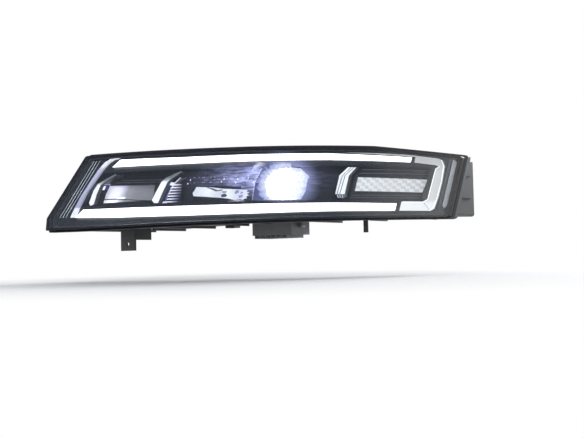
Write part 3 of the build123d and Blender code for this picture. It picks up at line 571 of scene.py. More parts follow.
def graded(name, stops, reach, rough, axis="X", metallic=0.0, glow=0.0, streak=(16.7, 1.11), fade=0.35,
           deep=None):
    """A silvered or frosted optic whose tone runs along an axis, crossed by fine moulded streaks.

    Where deep is given as x, a near and a far depth and a share, a painted shade darkens the tone to that
    share between them.
    """
    material, tree, place = new_material(name)
    start, end = ((spot + DATUM["XYZ".index(axis)]) * MM for spot in reach)
    along = node(tree, "ShaderNodeSeparateXYZ", {"Vector": place}).outputs[axis]
    run = node(tree, "ShaderNodeMapRange", {"Value": along, "From Min": start, "From Max": end})
    ramp = node(tree, "ShaderNodeValToRGB", {"Fac": run})
    marks = ramp.color_ramp.elements
    for spot, colour in stops[2:]:
        marks.new(spot)
    for mark, (spot, colour) in zip(sorted(marks, key=lambda m: m.position), stops):
        mark.position = spot
        mark.color = linear(colour)
    grain = streaks(tree, place, *streak)
    share = node(tree, "ShaderNodeMapRange", {"Value": grain, "To Min": 1.0 - fade, "To Max": 1.0})
    if deep:
        x, near, far, least = deep
        recess_shade = node(tree, "ShaderNodeMapRange", {"Value": depth_behind(tree, place, x), "From Min": near,
                                                "From Max": far, "To Min": 1.0, "To Max": least})
        share = node(tree, "ShaderNodeMath", {0: share, 1: recess_shade}, operation="MULTIPLY")
    tone = node(tree, "ShaderNodeVectorMath", {0: ramp, "Scale": share}, operation="SCALE")
    gloss = node(tree, "ShaderNodeMapRange", {"Value": grain, "To Min": rough[0], "To Max": rough[1]})
    shader = node(tree, "ShaderNodeBsdfPrincipled",
                  {"Base Color": tone, "Roughness": gloss, "Metallic": metallic, "Emission Color": tone,
                   "Emission Strength": glow})
    node(tree, "ShaderNodeOutputMaterial", {"Surface": shader})
    return material


def lit(name, colour, strength, prisms):
    """A glow for lit optics and painted highlights: even, with faint lines where the prisms behind it show."""
    material, tree, place = new_material(name)
    glow = strength
    if prisms:
        # A wave texture repeats every tau / 20 at scale 1.
        scale = math.tau / 20 * drawn(PRISM_PITCH)
        lines = node(tree, "ShaderNodeTexWave", {"Vector": place, "Scale": scale, "Distortion": 0.4})
        glow = node(tree, "ShaderNodeMapRange",
                    {"Value": lines.outputs["Fac"], "To Min": strength * (1 - prisms), "To Max": strength})
    shader = node(tree, "ShaderNodeBsdfPrincipled",
                  {"Base Color": linear("#f4f6fa"), "Roughness": 0.25, "Emission Color": linear(colour),
                   "Emission Strength": glow})
    node(tree, "ShaderNodeOutputMaterial", {"Surface": shader})
    return material


def finish_of(name):
    """A new material for the finish of that name in the tables above."""
    if name in MOULDED:
        colour, *rest = MOULDED[name]
        return moulded(name, linear(colour), *rest)
    if name in GRADED:
        return graded(name, **GRADED[name])
    return lit(name, *LIT[name])


def stray_light(material, colour, strength, halo=0.0):
    """Streaks of light that the main module spills on what is round it, fading with the distance from it.

    The halo is a second light of that strength, close round the lit core.
    """
    tree = material.node_tree
    shader = next(n for n in tree.nodes if n.type == "BSDF_PRINCIPLED")
    place = node(tree, "ShaderNodeTexCoord").outputs["Object"]
    far = distance(tree, place, GLOW_SPOT, GLOW_REACH)
    near = node(tree, "ShaderNodeMapRange", {"Value": far, "From Min": 1.0, "From Max": 0.25})
    curve = node(tree, "ShaderNodeMath", {0: near, 1: 3.2}, operation="POWER")
    vary = node(tree, "ShaderNodeMapRange", {"Value": streaks(tree, place, *SPILL_STREAK), "From Min": 0.35,
                                             "From Max": 0.7, "To Min": 0.35, "To Max": 1.7})
    both = node(tree, "ShaderNodeMath", {0: curve, 1: vary}, operation="MULTIPLY")
    total = node(tree, "ShaderNodeMath", {0: both, 1: strength}, operation="MULTIPLY")
    if halo:
        beside = distance(tree, place, CORE_SPOT, CORE_REACH)
        close = node(tree, "ShaderNodeMapRange", {"Value": beside, "From Min": 1.12, "From Max": 0.68})
        soft = node(tree, "ShaderNodeMath", {0: close, 1: 1.6}, operation="POWER")
        total = node(tree, "ShaderNodeMath", {0: soft, 1: halo, 2: total}, operation="MULTIPLY_ADD")
    shader.inputs["Emission Color"].default_value = linear(colour)
    tree.links.new(total.outputs["Value"], shader.inputs["Emission Strength"])
    return material


def clear_polycarbonate():
    """Hard-coated clear polycarbonate: it shines, and lets the lamps' light through to what is behind it."""
    material, tree, place = new_material("clear_polycarbonate")
    haze = node(tree, "ShaderNodeTexNoise", {"Vector": place, "Scale": drawn(HAZE_SIZE), "Detail": 4.0})
    gloss = node(tree, "ShaderNodeMapRange", {"Value": haze, "To Min": 0.0075, "To Max": 0.0225})
    clear = linear("#f7fafc")
    shader = node(tree, "ShaderNodeBsdfPrincipled",
                  {"Base Color": clear, "Roughness": gloss, "IOR": 1.58, "Transmission Weight": 1.0})
    through = node(tree, "ShaderNodeBsdfTransparent", {"Color": clear})
    shadow = node(tree, "ShaderNodeLightPath").outputs["Is Shadow Ray"]
    mix = node(tree, "ShaderNodeMixShader", {0: shadow, 1: shader, 2: through})
    node(tree, "ShaderNodeOutputMaterial", {"Surface": mix})
    return material


def lit_core(name, strength):
    """A lit optic that is white in the middle and turns to a dim blue towards its rim, with a grainy edge."""
    material, tree, place = new_material(name)
    rough = node(tree, "ShaderNodeTexNoise", {"Vector": place, "Scale": drawn(CORE_GRAIN), "Detail": 4.0})
    edge = node(tree, "ShaderNodeMath", {0: rough, 1: 0.35}, operation="MULTIPLY")
    far = distance(tree, place, CORE_SPOT, CORE_REACH)
    spread = node(tree, "ShaderNodeMath", {0: far, 1: edge}, operation="ADD")
    ramp = node(tree, "ShaderNodeValToRGB", {"Fac": spread})
    marks = ramp.color_ramp.elements
    marks[0].position, marks[0].color = 0.63, linear("#ffffff")
    marks[1].position, marks[1].color = 1.0, linear("#4c5280")
    marks.new(0.82).color = linear("#dde1fd")
    marks.new(0.92).color = linear("#abb2e6")
    power = node(tree, "ShaderNodeMapRange",
                 {"Value": spread, "From Min": 0.6, "From Max": 0.76, "To Min": strength, "To Max": 0.9})
    shader = node(tree, "ShaderNodeBsdfPrincipled",
                  {"Base Color": linear("#3a3f58"), "Roughness": 0.12, "Emission Color": ramp,
                   "Emission Strength": power})
    node(tree, "ShaderNodeOutputMaterial", {"Surface": shader})
    return material


def paint(material, *nodes):
    """Give CAD nodes their finish."""
    for name in nodes:
        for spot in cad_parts[name].material_slots:
            spot.material = material


def smooth(mesh, crease):
    """Smooth shading, with an edge where faces turn by more than the crease in degrees."""
    mesh.polygons.foreach_set("use_smooth", [True] * len(mesh.polygons))
    mesh.set_sharp_from_angle(angle=math.radians(crease))


def finished(name, form, material, body, crease=CREASE):
    """Turn a bmesh into a piece that rides on a body."""
    mesh = bpy.data.meshes.new(name)
    form.to_mesh(mesh)
    form.free()
    smooth(mesh, crease)
    mesh.materials.append(material)
    piece = bpy.data.objects.new(name, mesh)
    bpy.context.scene.collection.objects.link(piece)
    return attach(piece, body)


def flat_outline(points, step):
    """A front-view outline as a flat mesh in mm, cut across so that it can bend with the lens."""
    form = bmesh.new()
    form.faces.new([form.verts.new((x, 0, z)) for x, z in points])
    low, high = min(x for x, z in points), max(x for x, z in points)
    count = math.ceil((high - low) / step)
    for i in range(1, count):
        parts = form.verts[:] + form.edges[:] + form.faces[:]
        cut = low + (high - low) * i / count
        bmesh.ops.bisect_plane(form, geom=parts, plane_co=(cut, 0, 0), plane_no=(1, 0, 0))
    bmesh.ops.triangulate(form, faces=form.faces[:])
    return form


def plates(name, shapes, material, body, step=PLATE_STEP):
    """One piece of thin plates, each an outline between two depths behind the lens."""
    form = bmesh.new()
    for outline, front, back in shapes:
        plate = flat_outline(outline, step)
        extruded = bmesh.ops.extrude_face_region(plate, geom=plate.faces[:])
        rear = {v for v in extruded["geom"] if isinstance(v, bmesh.types.BMVert)}
        for v in plate.verts:
            v.co = on_layer(v.co.x, v.co.z, back if v in rear else front)
        bmesh.ops.recalc_face_normals(plate, faces=plate.faces[:])
        mesh = bpy.data.meshes.new("plate")
        plate.to_mesh(mesh)
        plate.free()
        form.from_mesh(mesh)
        bpy.data.meshes.remove(mesh)
    return finished(name, form, material, body)


def new_tree(name, inputs):
    """A Geometry Nodes tree with named inputs and one geometry out, and the node that holds its inputs."""
    tree = bpy.data.node_groups.new(name, "GeometryNodeTree")
    tree.interface.new_socket("Geometry", in_out="INPUT", socket_type="NodeSocketGeometry")
    for label, kind in inputs:
        tree.interface.new_socket(label, in_out="INPUT", socket_type="NodeSocket" + kind)
    tree.interface.new_socket("Geometry", in_out="OUTPUT", socket_type="NodeSocketGeometry")
    return tree, node(tree, "NodeGroupInput")


def end_tree(tree, start, made):
    """Realize what a tree has made, give it its finish and send it out."""
    solid = node(tree, "GeometryNodeRealizeInstances", {"Geometry": made})
    done = node(tree, "GeometryNodeSetMaterial", {"Geometry": solid, "Material": start.outputs["Finish"]})
    node(tree, "NodeGroupOutput", {"Geometry": done})
    return tree


def repeat_tree():
    """Copies of one form on every point, its Z to the point's facing and its X to the point's along."""
    tree, start = new_tree("repeat_on_points",
                           [("Form", "Object"), ("Size", "Float"), ("Finish", "Material")])
    form = node(tree, "GeometryNodeObjectInfo", {"Object": start.outputs["Form"]})
    facing = node(tree, "GeometryNodeInputNamedAttribute", {"Name": "facing"}, data_type="FLOAT_VECTOR")
    along = node(tree, "GeometryNodeInputNamedAttribute", {"Name": "along"}, data_type="FLOAT_VECTOR")
    first = node(tree, "FunctionNodeAlignRotationToVector", {"Vector": facing}, axis="Z")
    second = node(tree, "FunctionNodeAlignRotationToVector", {"Vector": along, "Rotation": first}, axis="X",
                  pivot_axis="Z")
    size = node(tree, "ShaderNodeCombineXYZ", {axis: start.outputs["Size"] for axis in "XYZ"})
    copies = node(tree, "GeometryNodeInstanceOnPoints",
                  {"Points": start, "Instance": form.outputs["Geometry"], "Rotation": second, "Scale": size})
    return end_tree(tree, start, copies)


def bead_tree():
    """A round bead swept along the base mesh's edges."""
    tree, start = new_tree("bead_along_path", [("Radius", "Float"), ("Sides", "Int"), ("Finish", "Material")])
    path = node(tree, "GeometryNodeMeshToCurve", {"Mesh": start})
    ring = node(tree, "GeometryNodeCurvePrimitiveCircle",
                {"Resolution": start.outputs["Sides"], "Radius": start.outputs["Radius"]})
    tube = node(tree, "GeometryNodeCurveToMesh", {"Curve": path, "Profile Curve": ring, "Fill Caps": True})
    return end_tree(tree, start, tube)


def grown(name, base, tree, values, body, crease):
    """Run a tree on a base mesh, keep the result as a plain mesh and let it ride on a body."""
    piece = bpy.data.objects.new(name, base)
    bpy.context.scene.collection.objects.link(piece)
    maker = piece.modifiers.new("maker", "NODES")
    maker.node_group = tree
    for item in tree.interface.items_tree:
        if item.in_out == "INPUT" and item.name in values:
            maker[item.identifier] = values[item.name]
    graph = bpy.context.evaluated_depsgraph_get()
    mesh = bpy.data.meshes.new_from_object(piece.evaluated_get(graph))
    piece.modifiers.clear()
    piece.data = mesh
    mesh.name = name
    if not mesh.polygons:
        raise RuntimeError("no faces came out of the tree for " + name)
    smooth(mesh, crease)
    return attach(piece, body)


def scattered(name, form, places, material, body, crease=CREASE):
    """Copies of one form on many places, each a point with a facing and an along direction."""
    shape = bpy.data.meshes.new(name + "_form")
    form.to_mesh(shape)
    form.free()
    source = bpy.data.objects.new(name + "_form", shape)
    spots = bpy.data.meshes.new("spots")
    spots.from_pydata([place[0] for place in places], [], [])
    for label, pick in (("facing", 1), ("along", 2)):
        store = spots.attributes.new(label, "FLOAT_VECTOR", "POINT")
        for value, place in zip(store.data, places):
            value.vector = place[pick]
    values = {"Form": source, "Size": 1.0, "Finish": material}
    piece = grown(name, spots, repeat_tree(), values, body, crease)
    bpy.data.objects.remove(source)
    return piece


def swept(name, lines, radius, material, body):
    """Round beads of a radius in mm along lines of points."""
    path = bpy.data.meshes.new("path")
    points = [p for line in lines for p in line]
    edges = []
    start = 0
    for line in lines:
        edges += [(start + i, start + i + 1) for i in range(len(line) - 1)]
        start += len(line)
    path.from_pydata(points, edges, [])
    values = {"Radius": radius * MM, "Sides": BEAD_SIDES, "Finish": material}
    return grown(name, path, bead_tree(), values, body, ROUND_CREASE)


def beaded(name, lines, material, body):
    """Round beads along lines on layers, each given as its depth and its corner points in x and z."""
    runs = []
    for back, points in lines:
        run = [on_layer(*points[0], back)]
        for (x0, z0), (x1, z1) in zip(points, points[1:]):
            count = max(1, math.ceil(math.hypot(x1 - x0, z1 - z0) / BEAD_STEP))
            run += [on_layer(x0 + (x1 - x0) * k / count, z0 + (z1 - z0) * k / count, back)
                    for k in range(1, count + 1)]
        runs.append(run)
    return swept(name, runs, BEAD_RADII[name], material, body)


def turned(profile, sides):
    """A form turned about Z from a profile of radius and height in mm, closed at both ends."""
    form = bmesh.new()
    rings = []
    for r, z in profile:
        rings.append([form.verts.new((r * MM * math.cos(a), r * MM * math.sin(a), z * MM))
                      for a in (math.tau * i / sides for i in range(sides))])
    for a, b in zip(rings, rings[1:]):
        for i in range(sides):
            j = (i + 1) % sides
            form.faces.new((a[i], a[j], b[j], b[i]))
    form.faces.new(rings[0][::-1])
    form.faces.new(rings[-1])
    return form


def block_form(wide, deep, high, top_wide, top_deep):
    """A block in mm that narrows towards its top, standing on its origin."""
    form = bmesh.new()
    rings = []
    for w, d, z in ((wide, deep, 0), (top_wide, top_deep, high)):
        rings.append([form.verts.new((x * w * MM / 2, y * d * MM / 2, z * MM))
                      for x, y in ((-1, -1), (1, -1), (1, 1), (-1, 1))])
    for i in range(4):
        j = (i + 1) % 4
        form.faces.new((rings[0][i], rings[0][j], rings[1][j], rings[1][i]))
    form.faces.new(rings[0][::-1])
    form.faces.new(rings[1])
    bmesh.ops.bevel(form, geom=form.edges[:], offset=min(top_wide, top_deep) * BLOCK_ROUND * MM, segments=2,
                    profile=0.5, affect="EDGES")
    return form


def lens_rim():
    """Points round the lens's outline with its sharp corners rounded, each with the way out of it."""
    corners = []
    for i, corner in enumerate(LENS_OUTLINE):
        a, b = Vector(LENS_OUTLINE[i - 1]), Vector(corner)
        c = Vector(LENS_OUTLINE[(i + 1) % len(LENS_OUTLINE)])
        u, v = (b - a).normalized(), (c - b).normalized()
        out = Vector((u.y, -u.x))
        turn = math.atan2(u.x * v.y - u.y * v.x, u.dot(v))
        if turn < SHARP_TURN:
            corners.append([(b, (out + Vector((v.y, -v.x))).normalized())])
            continue
        centre = b - u * LENS_CORNER * math.tan(turn / 2) - out * LENS_CORNER
        arc = []
        for angle in (turn * k / CORNER_STEPS for k in range(CORNER_STEPS + 1)):
            way = Vector((out.x * math.cos(angle) - out.y * math.sin(angle),
                          out.x * math.sin(angle) + out.y * math.cos(angle)))
            arc.append((centre + way * LENS_CORNER, way))
        corners.append(arc)
    loop = []
    for i, arc in enumerate(corners):
        (p, out), (q, other) = arc[-1], corners[(i + 1) % len(corners)][0]
        count = math.ceil((q - p).length / EDGE_STEP)
        loop += arc + [(p.lerp(q, k / count), out.lerp(other, k / count).normalized())
                       for k in range(1, count)]
    return loop


def seen_rays(tree):
    """One for rays that show the background: camera, glossy and transmission rays."""
    path = node(tree, "ShaderNodeLightPath").outputs
    some = node(tree, "ShaderNodeMath", {0: path["Is Camera Ray"], 1: path["Is Glossy Ray"]},
                operation="MAXIMUM")
    return node(tree, "ShaderNodeMath", {0: some, 1: path["Is Transmission Ray"]}, operation="MAXIMUM")


def pale_floor(low):
    """Matt pale concrete that keeps the lamp's shadow and fades to white round it."""
    material, tree, place = new_material("pale_floor")
    grain = node(tree, "ShaderNodeTexNoise", {"Vector": place, "Scale": drawn(FLOOR_GRAIN), "Detail": 3.0})
    tone = node(tree, "ShaderNodeMapRange", {"Value": grain, "To Min": 0.80, "To Max": 0.84})
    near = node(tree, "ShaderNodeBsdfPrincipled", {"Base Color": tone, "Roughness": 0.8})
    white = node(tree, "ShaderNodeEmission", {"Color": (1, 1, 1, 1), "Strength": 1.0})
    middle = tuple((a + b) / 2 for a, b in zip(*CAD_BOX))[:2] + (low,)
    far = node(tree, "ShaderNodeVectorMath", {0: place, 1: middle}, operation="DISTANCE")
    start, end = FLOOR_FADE
    fade = node(tree, "ShaderNodeMapRange", {"Value": far, "From Min": start, "From Max": end})
    both = node(tree, "ShaderNodeMath", {0: fade, 1: seen_rays(tree)}, operation="MULTIPLY")
    mix = node(tree, "ShaderNodeMixShader", {0: both, 1: near, 2: white})
    node(tree, "ShaderNodeOutputMaterial", {"Surface": mix})
    return material


def soft_room():
    """A room that lights plainly, and looks white low down and grey overhead."""
    world = bpy.data.worlds.new("soft_room")
    world.use_nodes = True
    tree = world.node_tree
    tree.nodes.clear()
    way = node(tree, "ShaderNodeTexCoord").outputs["Generated"]
    up = node(tree, "ShaderNodeSeparateXYZ", {"Vector": way}).outputs["Z"]
    start, end = SKY_FADE
    rise = node(tree, "ShaderNodeMapRange", {"Value": up, "From Min": start, "From Max": end})
    sky = node(tree, "ShaderNodeMix", {"Factor": rise, "A": (1, 1, 1, 1), "B": linear("#858b9a")},
               data_type="RGBA")
    back = node(tree, "ShaderNodeBackground", {"Color": sky, "Strength": 1.0})
    room = node(tree, "ShaderNodeBackground", {"Color": linear("#e9eef6"), "Strength": 0.5})
    mix = node(tree, "ShaderNodeMixShader", {0: seen_rays(tree), 1: room, 2: back})
    node(tree, "ShaderNodeOutputWorld", {"Surface": mix})
    return world


class LampFinish(bpy.types.PropertyGroup):
    """Colours, glow and sizes that a user would change."""

    bezel: bpy.props.FloatVectorProperty(
        name="Bezel", description="Colour of the gloss bezel", subtype="COLOR", size=3,
        default=linear("#191b1f")[:3], min=0, max=1)
    bar_glow: bpy.props.FloatProperty(
        name="Bar glow", description="Strength of the lit light bars", default=2.2, min=0)
    beam_glow: bpy.props.FloatProperty(
        name="Beam glow", description="Strength of the lit main module", default=9.0, min=0)
    spill: bpy.props.FloatProperty(
        name="Spill", description="Stray light round the main module", default=1.35, min=0)
    screw_head: bpy.props.FloatProperty(
        name="Screw head", description="Diameter of the small screw heads", default=0.0075, min=0.004,
        max=0.012, unit="LENGTH")
    pillow_high: bpy.props.FloatProperty(
        name="Pillow height", description="How far each pillow optic stands out", default=0.0006, min=0.0005,
        max=0.003, unit="LENGTH")


class HEADLAMP_OT_finishes(bpy.types.Operator):
    """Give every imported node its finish"""

    bl_idname = "headlamp.finishes"
    bl_label = "Finishes"

    def execute(self, context):
        finish = context.scene.headlamp_finish
        for name, nodes in NODE_FINISHES.items():
            paint(finish_of(name), *nodes)
        paint(clear_polycarbonate(), "outer_lens")
        # Polycarbonate from a polished tool, in the user's colour: black glass that takes the module's light.
        colour = tuple(finish.bezel) + (1.0,)
        gloss = moulded("gloss_black_bezel", colour, 0.14, 0.24, 0.67, 0.02, even=True)
        paint(stray_light(gloss, "#9095c6", finish.spill, HALO), "bezel")
        # Clear light guide over white film: plain white, with the prisms just showing.
        paint(lit("lit_light_bar", "#ffffff", finish.bar_glow, 0.1), "drl_upper", "drl_lower")
        paint(lit_core("lit_beam_optic", finish.beam_glow), "main_lens")
        return {"FINISHED"}


class HEADLAMP_OT_pillow_optics(bpy.types.Operator):
    """Rows of small pillow optics on the outboard module's lens"""

    bl_idname = "headlamp.pillow_optics"
    bl_label = "Pillow optics"

    def execute(self, context):
        high = context.scene.headlamp_finish.pillow_high
        form = bmesh.new()
        bmesh.ops.create_grid(form, x_segments=PILLOW_CUTS[0], y_segments=PILLOW_CUTS[1], size=0.5)
        for v in form.verts:
            x, y = 2 * v.co.x, 2 * v.co.y
            v.co = (v.co.x * PILLOW_PITCH * MM, v.co.y * PILLOW_ROW * MM,
                    high * (1 - PILLOW_FALL * x * x) * (1 - PILLOW_FALL * y * y))
        places = []
        for row in range(PILLOW_ROWS):
            z = PILLOW_LOW + (row + 0.5) * PILLOW_ROW
            first = PILLOW_LEFT + (PILLOW_PITCH / 2 if row % 2 else 0)
            for i in range(PILLOW_COUNT):
                places.append(layer_frame(first + i * PILLOW_PITCH, z, PILLOW_BACK))
        scattered("pillow_optics", form, places, finish_of("pillow_facet"), "lamp", ROUND_CREASE)
        return {"FINISHED"}


class HEADLAMP_OT_flutes(bpy.types.Operator):
    """Fine lines across the recess beside the main module, and the painted glints and sparks on them"""

    bl_idname = "headlamp.flutes"
    bl_label = "Flutes"

    def execute(self, context):
        lines = []
        for i in range(FLUTE_COUNT):
            share = i / (FLUTE_COUNT - 1)
            z = FLUTE_TOP + (FLUTE_LOW - FLUTE_TOP) * share
            left, right = FLUTE_LEFT + FLUTE_SHIFTS[0] * share, FLUTE_RIGHT + FLUTE_SHIFTS[1] * share
            lines.append([on_layer(left + (right - left) * part, z - FLUTE_DROP * part, RECESS_FRONT)
                          for part in (k / FLUTE_STEPS for k in range(FLUTE_STEPS + 1))])
        black = finish_of("gloss_black_flute")
        stray_light(black, "#9a9fce", context.scene.headlamp_finish.spill)
        swept("recess_flutes", lines, FLUTE_RADIUS, black, "lamp")
        chance = random.Random(GLINT_SEED)
        glints = []
        for i in range(GLINT_COUNT):
            x = FLUTE_LEFT + (FLUTE_RIGHT - FLUTE_LEFT) * chance.random() ** GLINT_CROWD
            glints.append(layer_frame(x, chance.choice(GLINT_ROWS), RECESS_SKIN))
        scattered("recess_glints", block_form(*GLINT_BLOCK), glints, finish_of("glint"), "lamp")
        sparks = [layer_frame(x, z, RECESS_SKIN) for x, z in SPARKS]
        scattered("recess_sparks", block_form(*SPARK_BLOCK), sparks, finish_of("recess_spark"), "lamp")
        return {"FINISHED"}


class HEADLAMP_OT_slim_optics(bpy.types.Operator):
    """Strip and shade on the inboard module, and the reflector round the middle one"""

    bl_idname = "headlamp.slim_optics"
    bl_label = "Slim optics"

    def execute(self, context):
        plates("slim_inboard_strip", INBOARD_STRIPS, finish_of("lit_slim_strip"), "beam_carrier")
        plates("slim_inboard_shade", INBOARD_SHADE, finish_of("black_shade"), "beam_carrier")
        plates("slim_middle_reflector", REFLECTOR, finish_of("white_reflector"), "lamp")
        plates("slim_middle_step", REFLECTOR_STEP, finish_of("pale_step"), "lamp")
        plates("slim_middle_shades", REFLECTOR_SHADES, finish_of("violet_grey_shade"), "lamp")
        plates("slim_middle_marks", REFLECTOR_MARKS, finish_of("dark_reflector_mark"), "lamp")
        return {"FINISHED"}


class HEADLAMP_OT_comb_rim(bpy.types.Operator):
    """Thin bright rim, painted highlights and dark blue panel beside the comb of fins"""

    bl_idname = "headlamp.comb_rim"
    bl_label = "Comb rim"

    def execute(self, context):
        plates("comb_panel", COMB_PANEL, finish_of("dark_blue_panel"), "lamp")
        plates("comb_rim", COMB_RIM, finish_of("bright_comb_rim"), "lamp")
        beaded("comb_panel_lines", COMB_LINES, finish_of("lavender_edge"), "lamp")
        plates("comb_panel_patches", COMB_HIGHLIGHTS, finish_of("panel_highlight"), "lamp")
        return {"FINISHED"}


class HEADLAMP_OT_bracket_details(bpy.types.Operator):
    """Facet in the inboard window's corner and the ribbed foot of the outboard bracket"""

    bl_idname = "headlamp.bracket_details"
    bl_label = "Bracket details"

    def execute(self, context):
        plates("corner_facet", CORNER_FACET, finish_of("violet_facet"), "lamp")
        plates("corner_edges", CORNER_HIGHLIGHTS, finish_of("facet_edge_highlight"), "lamp")
        plates("bracket_foot", FOOT_PLATE, finish_of("grey_foot"), "lamp")
        beaded("bracket_foot_ribs", FOOT_RIBS, finish_of("pale_foot_rib"), "lamp")
        return {"FINISHED"}


class HEADLAMP_OT_main_facets(bpy.types.Operator):
    """Collar, lit flange and facets round the lit main module"""

    bl_idname = "headlamp.main_facets"
    bl_label = "Main facets"

    def execute(self, context):
        black = finish_of("gloss_black_collar")
        stray_light(black, "#9aa2e4", COLLAR_SPILL * context.scene.headlamp_finish.spill)
        plates("main_collar", CORE_COLLAR, black, "lamp", COLLAR_STEP)
        plates("main_skirt", CORE_SKIRT, lit_core("lit_skirt", 1.0), "beam_carrier")
        crystal = bmesh.new()
        for left, right, low, high in CRYSTALS:
            rim = [crystal.verts.new(on_layer(x, z, MODULE_FRONT))
                   for x, z in ((left, low), (right, low), (right, high), (left, high))]
            middle = (left + right) / 2, (low + high) / 2
            tip = crystal.verts.new(on_layer(*middle, MODULE_FRONT - CRYSTAL_HIGH))
            for a, b in zip(rim, rim[1:] + rim[:1]):
                crystal.faces.new((a, b, tip))
            crystal.faces.new(rim[::-1])
        bmesh.ops.recalc_face_normals(crystal, faces=crystal.faces[:])
        finished("main_facets", crystal, finish_of("lit_crystal"), "beam_carrier", FACET_CREASE)
        return {"FINISHED"}


class HEADLAMP_OT_bright_edges(bpy.types.Operator):
    """Thin ridges and edges on the bezel and blade that catch the light, and a painted shadow on its mitre"""

    bl_idname = "headlamp.bright_edges"
    bl_label = "Bright edges"

    def execute(self, context):
        beaded("edge_ridges", RIDGES, finish_of("satin_ridge"), "lamp")
        beaded("step_edges", STEP_LINES, finish_of("bezel_edge"), "lamp")
        beaded("blade_rims", BLADE_RIMS, finish_of("lit_blade_rim"), "lamp")
        beaded("blade_mitre", MITRE_SHADOW_LINE, finish_of("mitre_shadow"), "lamp")
        return {"FINISHED"}


class HEADLAMP_OT_lens_edge(bpy.types.Operator):
    """Black moulded edge of the lens, which hides the glue seam"""

    bl_idname = "headlamp.lens_edge"
    bl_label = "Lens edge"

    def execute(self, context):
        loop = lens_rim()
        outer, inner = EDGE_OFFSETS
        front, back = EDGE_DEPTHS
        form = bmesh.new()
        rings = []
        for offset, depth in ((outer, front), (outer, back), (inner, back), (inner, front)):
            rings.append([form.verts.new(on_layer(*(p + out * offset), depth)) for p, out in loop])
        for a, b in zip(rings, rings[1:] + rings[:1]):
            for i in range(len(loop)):
                j = (i + 1) % len(loop)
                form.faces.new((a[i], a[j], b[j], b[i]))
        bmesh.ops.recalc_face_normals(form, faces=form.faces[:])
        finished("lens_edge", form, finish_of("black_lens_edge"), "lamp")
        return {"FINISHED"}


class HEADLAMP_OT_rear_screws(bpy.types.Operator):
    """Small screws that hold the motor and the driver box, and the aiming sockets"""

    bl_idname = "headlamp.rear_screws"
    bl_label = "Rear screws"

    def execute(self, context):
        radius = context.scene.headlamp_finish.screw_head / MM / 2
        head = turned([(radius * share, z) for share, z in SCREW_PROFILE], SCREW_SIDES)
        places = [(at(*place), facing, OUTBOARD) for place, facing in SCREW_PLACES]
        scattered("case_screws", head, places, finish_of("zinc_screw"), "lamp", HEAD_CREASE)
        places = [(at(*place), BACKWARDS, OUTBOARD) for place in AIM_HEADS]
        acetal = finish_of("aiming_acetal")
        scattered("aiming_sockets", turned(SOCKET_PROFILE, SOCKET_SIDES), places, acetal, "lamp", HEAD_CREASE)
        return {"FINISHED"}


class HEADLAMP_OT_rear_fittings(bpy.types.Operator):
    """Contact pins, moulding marks, catches round the lens channel and the cover's grip"""

    bl_idname = "headlamp.rear_fittings"
    bl_label = "Rear fittings"

    def execute(self, context):
        pins = [(at(*place), BACKWARDS, OUTBOARD) for place in SOCKET_PINS + DRIVER_PINS]
        pins += [(at(*place), DOWN, OUTBOARD) for place in MOTOR_PINS]
        scattered("contact_pins", block_form(*PIN_BLOCK), pins, finish_of("tinned_contact"), "lamp")
        black = finish_of("housing_detail")
        marks = [(at(*place), BACKWARDS, OUTBOARD) for place in MOULD_MARKS]
        scattered("moulding_marks", turned(MARK_PROFILE, MARK_SIDES), marks, black, "lamp")
        catches = []
        for p, out in lens_rim()[::CATCH_EVERY]:
            if abs(out.y) > CATCH_LEVEL and all(abs(p.x - x) > CATCH_CLEAR for x in RIB_PLACES):
                here, ahead, across = layer_frame(*(p - out * CATCH_SINK), CATCH_DEPTH)
                catches.append((here, -ahead, across))
        scattered("lens_catches", block_form(*CATCH_BLOCK), catches, black, "lamp")
        x0, y0, z0 = COVER_AXIS
        grips = []
        for i in range(COVER_GRIPS):
            a = math.tau * i / COVER_GRIPS
            spot = at(x0 + COVER_GRIP_R * math.cos(a), y0, z0 + COVER_GRIP_R * math.sin(a))
            grips.append((spot, BACKWARDS, Vector((math.cos(a), 0, math.sin(a)))))
        scattered("cover_grips", block_form(*GRIP_BLOCK), grips, finish_of("cover_grip"), "rear_cover")
        return {"FINISHED"}


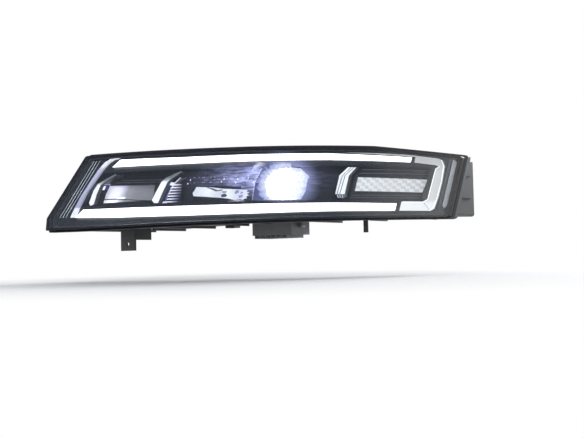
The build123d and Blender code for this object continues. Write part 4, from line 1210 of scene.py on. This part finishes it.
class HEADLAMP_OT_stage(bpy.types.Operator):
    """Set the floor, the room, the soft lamps and the camera"""

    bl_idname = "headlamp.stage"
    bl_label = "Stage"

    def execute(self, context):
        scene = context.scene
        low = CAD_BOX[0][2] - FLOOR_GAP
        mesh = bpy.data.meshes.new("floor")
        corners = [(x * FLOOR_HALF, y * FLOOR_HALF, low) for x, y in ((-1, -1), (1, -1), (1, 1), (-1, 1))]
        mesh.from_pydata(corners, [], [(0, 1, 2, 3)])
        mesh.materials.append(pale_floor(low))
        floor = bpy.data.objects.new("floor", mesh)
        scene.collection.objects.link(floor)
        scene.world = soft_room()
        for name, spot, aim, size, power, shown in LAMPS:
            data = bpy.data.lights.new(name, "AREA")
            data.shape = "SQUARE"
            data.size = size
            data.energy = power
            lamp = bpy.data.objects.new(name, data)
            lamp.location = spot
            lamp.visible_glossy = shown
            lamp.rotation_euler = (Vector(aim) - Vector(spot)).to_track_quat("-Z", "Y").to_euler()
            scene.collection.objects.link(lamp)
        eye = bpy.data.cameras.new("photo_view")
        eye.sensor_width = SENSOR_WIDTH
        eye.lens = PHOTO_FOCAL / PHOTO_WIDTH * SENSOR_WIDTH
        camera = bpy.data.objects.new("photo_view", eye)
        camera.location = CAMERA_PLACE
        turn = Euler((math.radians(90 + CAMERA_TILT), 0, math.radians(CAMERA_HEADING))).to_matrix()
        turn = turn @ Matrix.Rotation(math.radians(CAMERA_ROLL), 3, "Z")
        camera.rotation_euler = turn.to_euler()
        scene.collection.objects.link(camera)
        scene.camera = camera
        scene.view_settings.view_transform = "Standard"
        return {"FINISHED"}


class HEADLAMP_PT_panel(bpy.types.Panel):
    """Lists the lamp's settings and pieces"""

    bl_label = "Headlamp"
    bl_space_type = "VIEW_3D"
    bl_region_type = "UI"
    bl_category = "Headlamp"

    def draw(self, context):
        finish = context.scene.headlamp_finish
        for name in LampFinish.__annotations__:
            self.layout.prop(finish, name)
        for step in STEPS:
            self.layout.operator(step.bl_idname)


STEPS = (HEADLAMP_OT_finishes, HEADLAMP_OT_pillow_optics, HEADLAMP_OT_flutes, HEADLAMP_OT_slim_optics,
         HEADLAMP_OT_comb_rim, HEADLAMP_OT_bracket_details, HEADLAMP_OT_main_facets, HEADLAMP_OT_bright_edges,
         HEADLAMP_OT_lens_edge, HEADLAMP_OT_rear_screws, HEADLAMP_OT_rear_fittings, HEADLAMP_OT_stage)
CLASSES = (LampFinish,) + STEPS + (HEADLAMP_PT_panel,)


def register():
    """Add the settings, the operators and the panel to Blender."""
    for cls in CLASSES:
        bpy.utils.register_class(cls)
    bpy.types.Scene.headlamp_finish = bpy.props.PointerProperty(type=LampFinish)


def unregister():
    """Take them out again."""
    del bpy.types.Scene.headlamp_finish
    for cls in reversed(CLASSES):
        bpy.utils.unregister_class(cls)


def main():
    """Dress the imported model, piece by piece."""
    register()
    bpy.ops.headlamp.finishes()
    bpy.ops.headlamp.pillow_optics()
    bpy.ops.headlamp.flutes()
    bpy.ops.headlamp.slim_optics()
    bpy.ops.headlamp.comb_rim()
    bpy.ops.headlamp.bracket_details()
    bpy.ops.headlamp.main_facets()
    bpy.ops.headlamp.bright_edges()
    bpy.ops.headlamp.lens_edge()
    bpy.ops.headlamp.rear_screws()
    bpy.ops.headlamp.rear_fittings()
    bpy.ops.headlamp.stage()


if __name__ == "__main__":
    main()
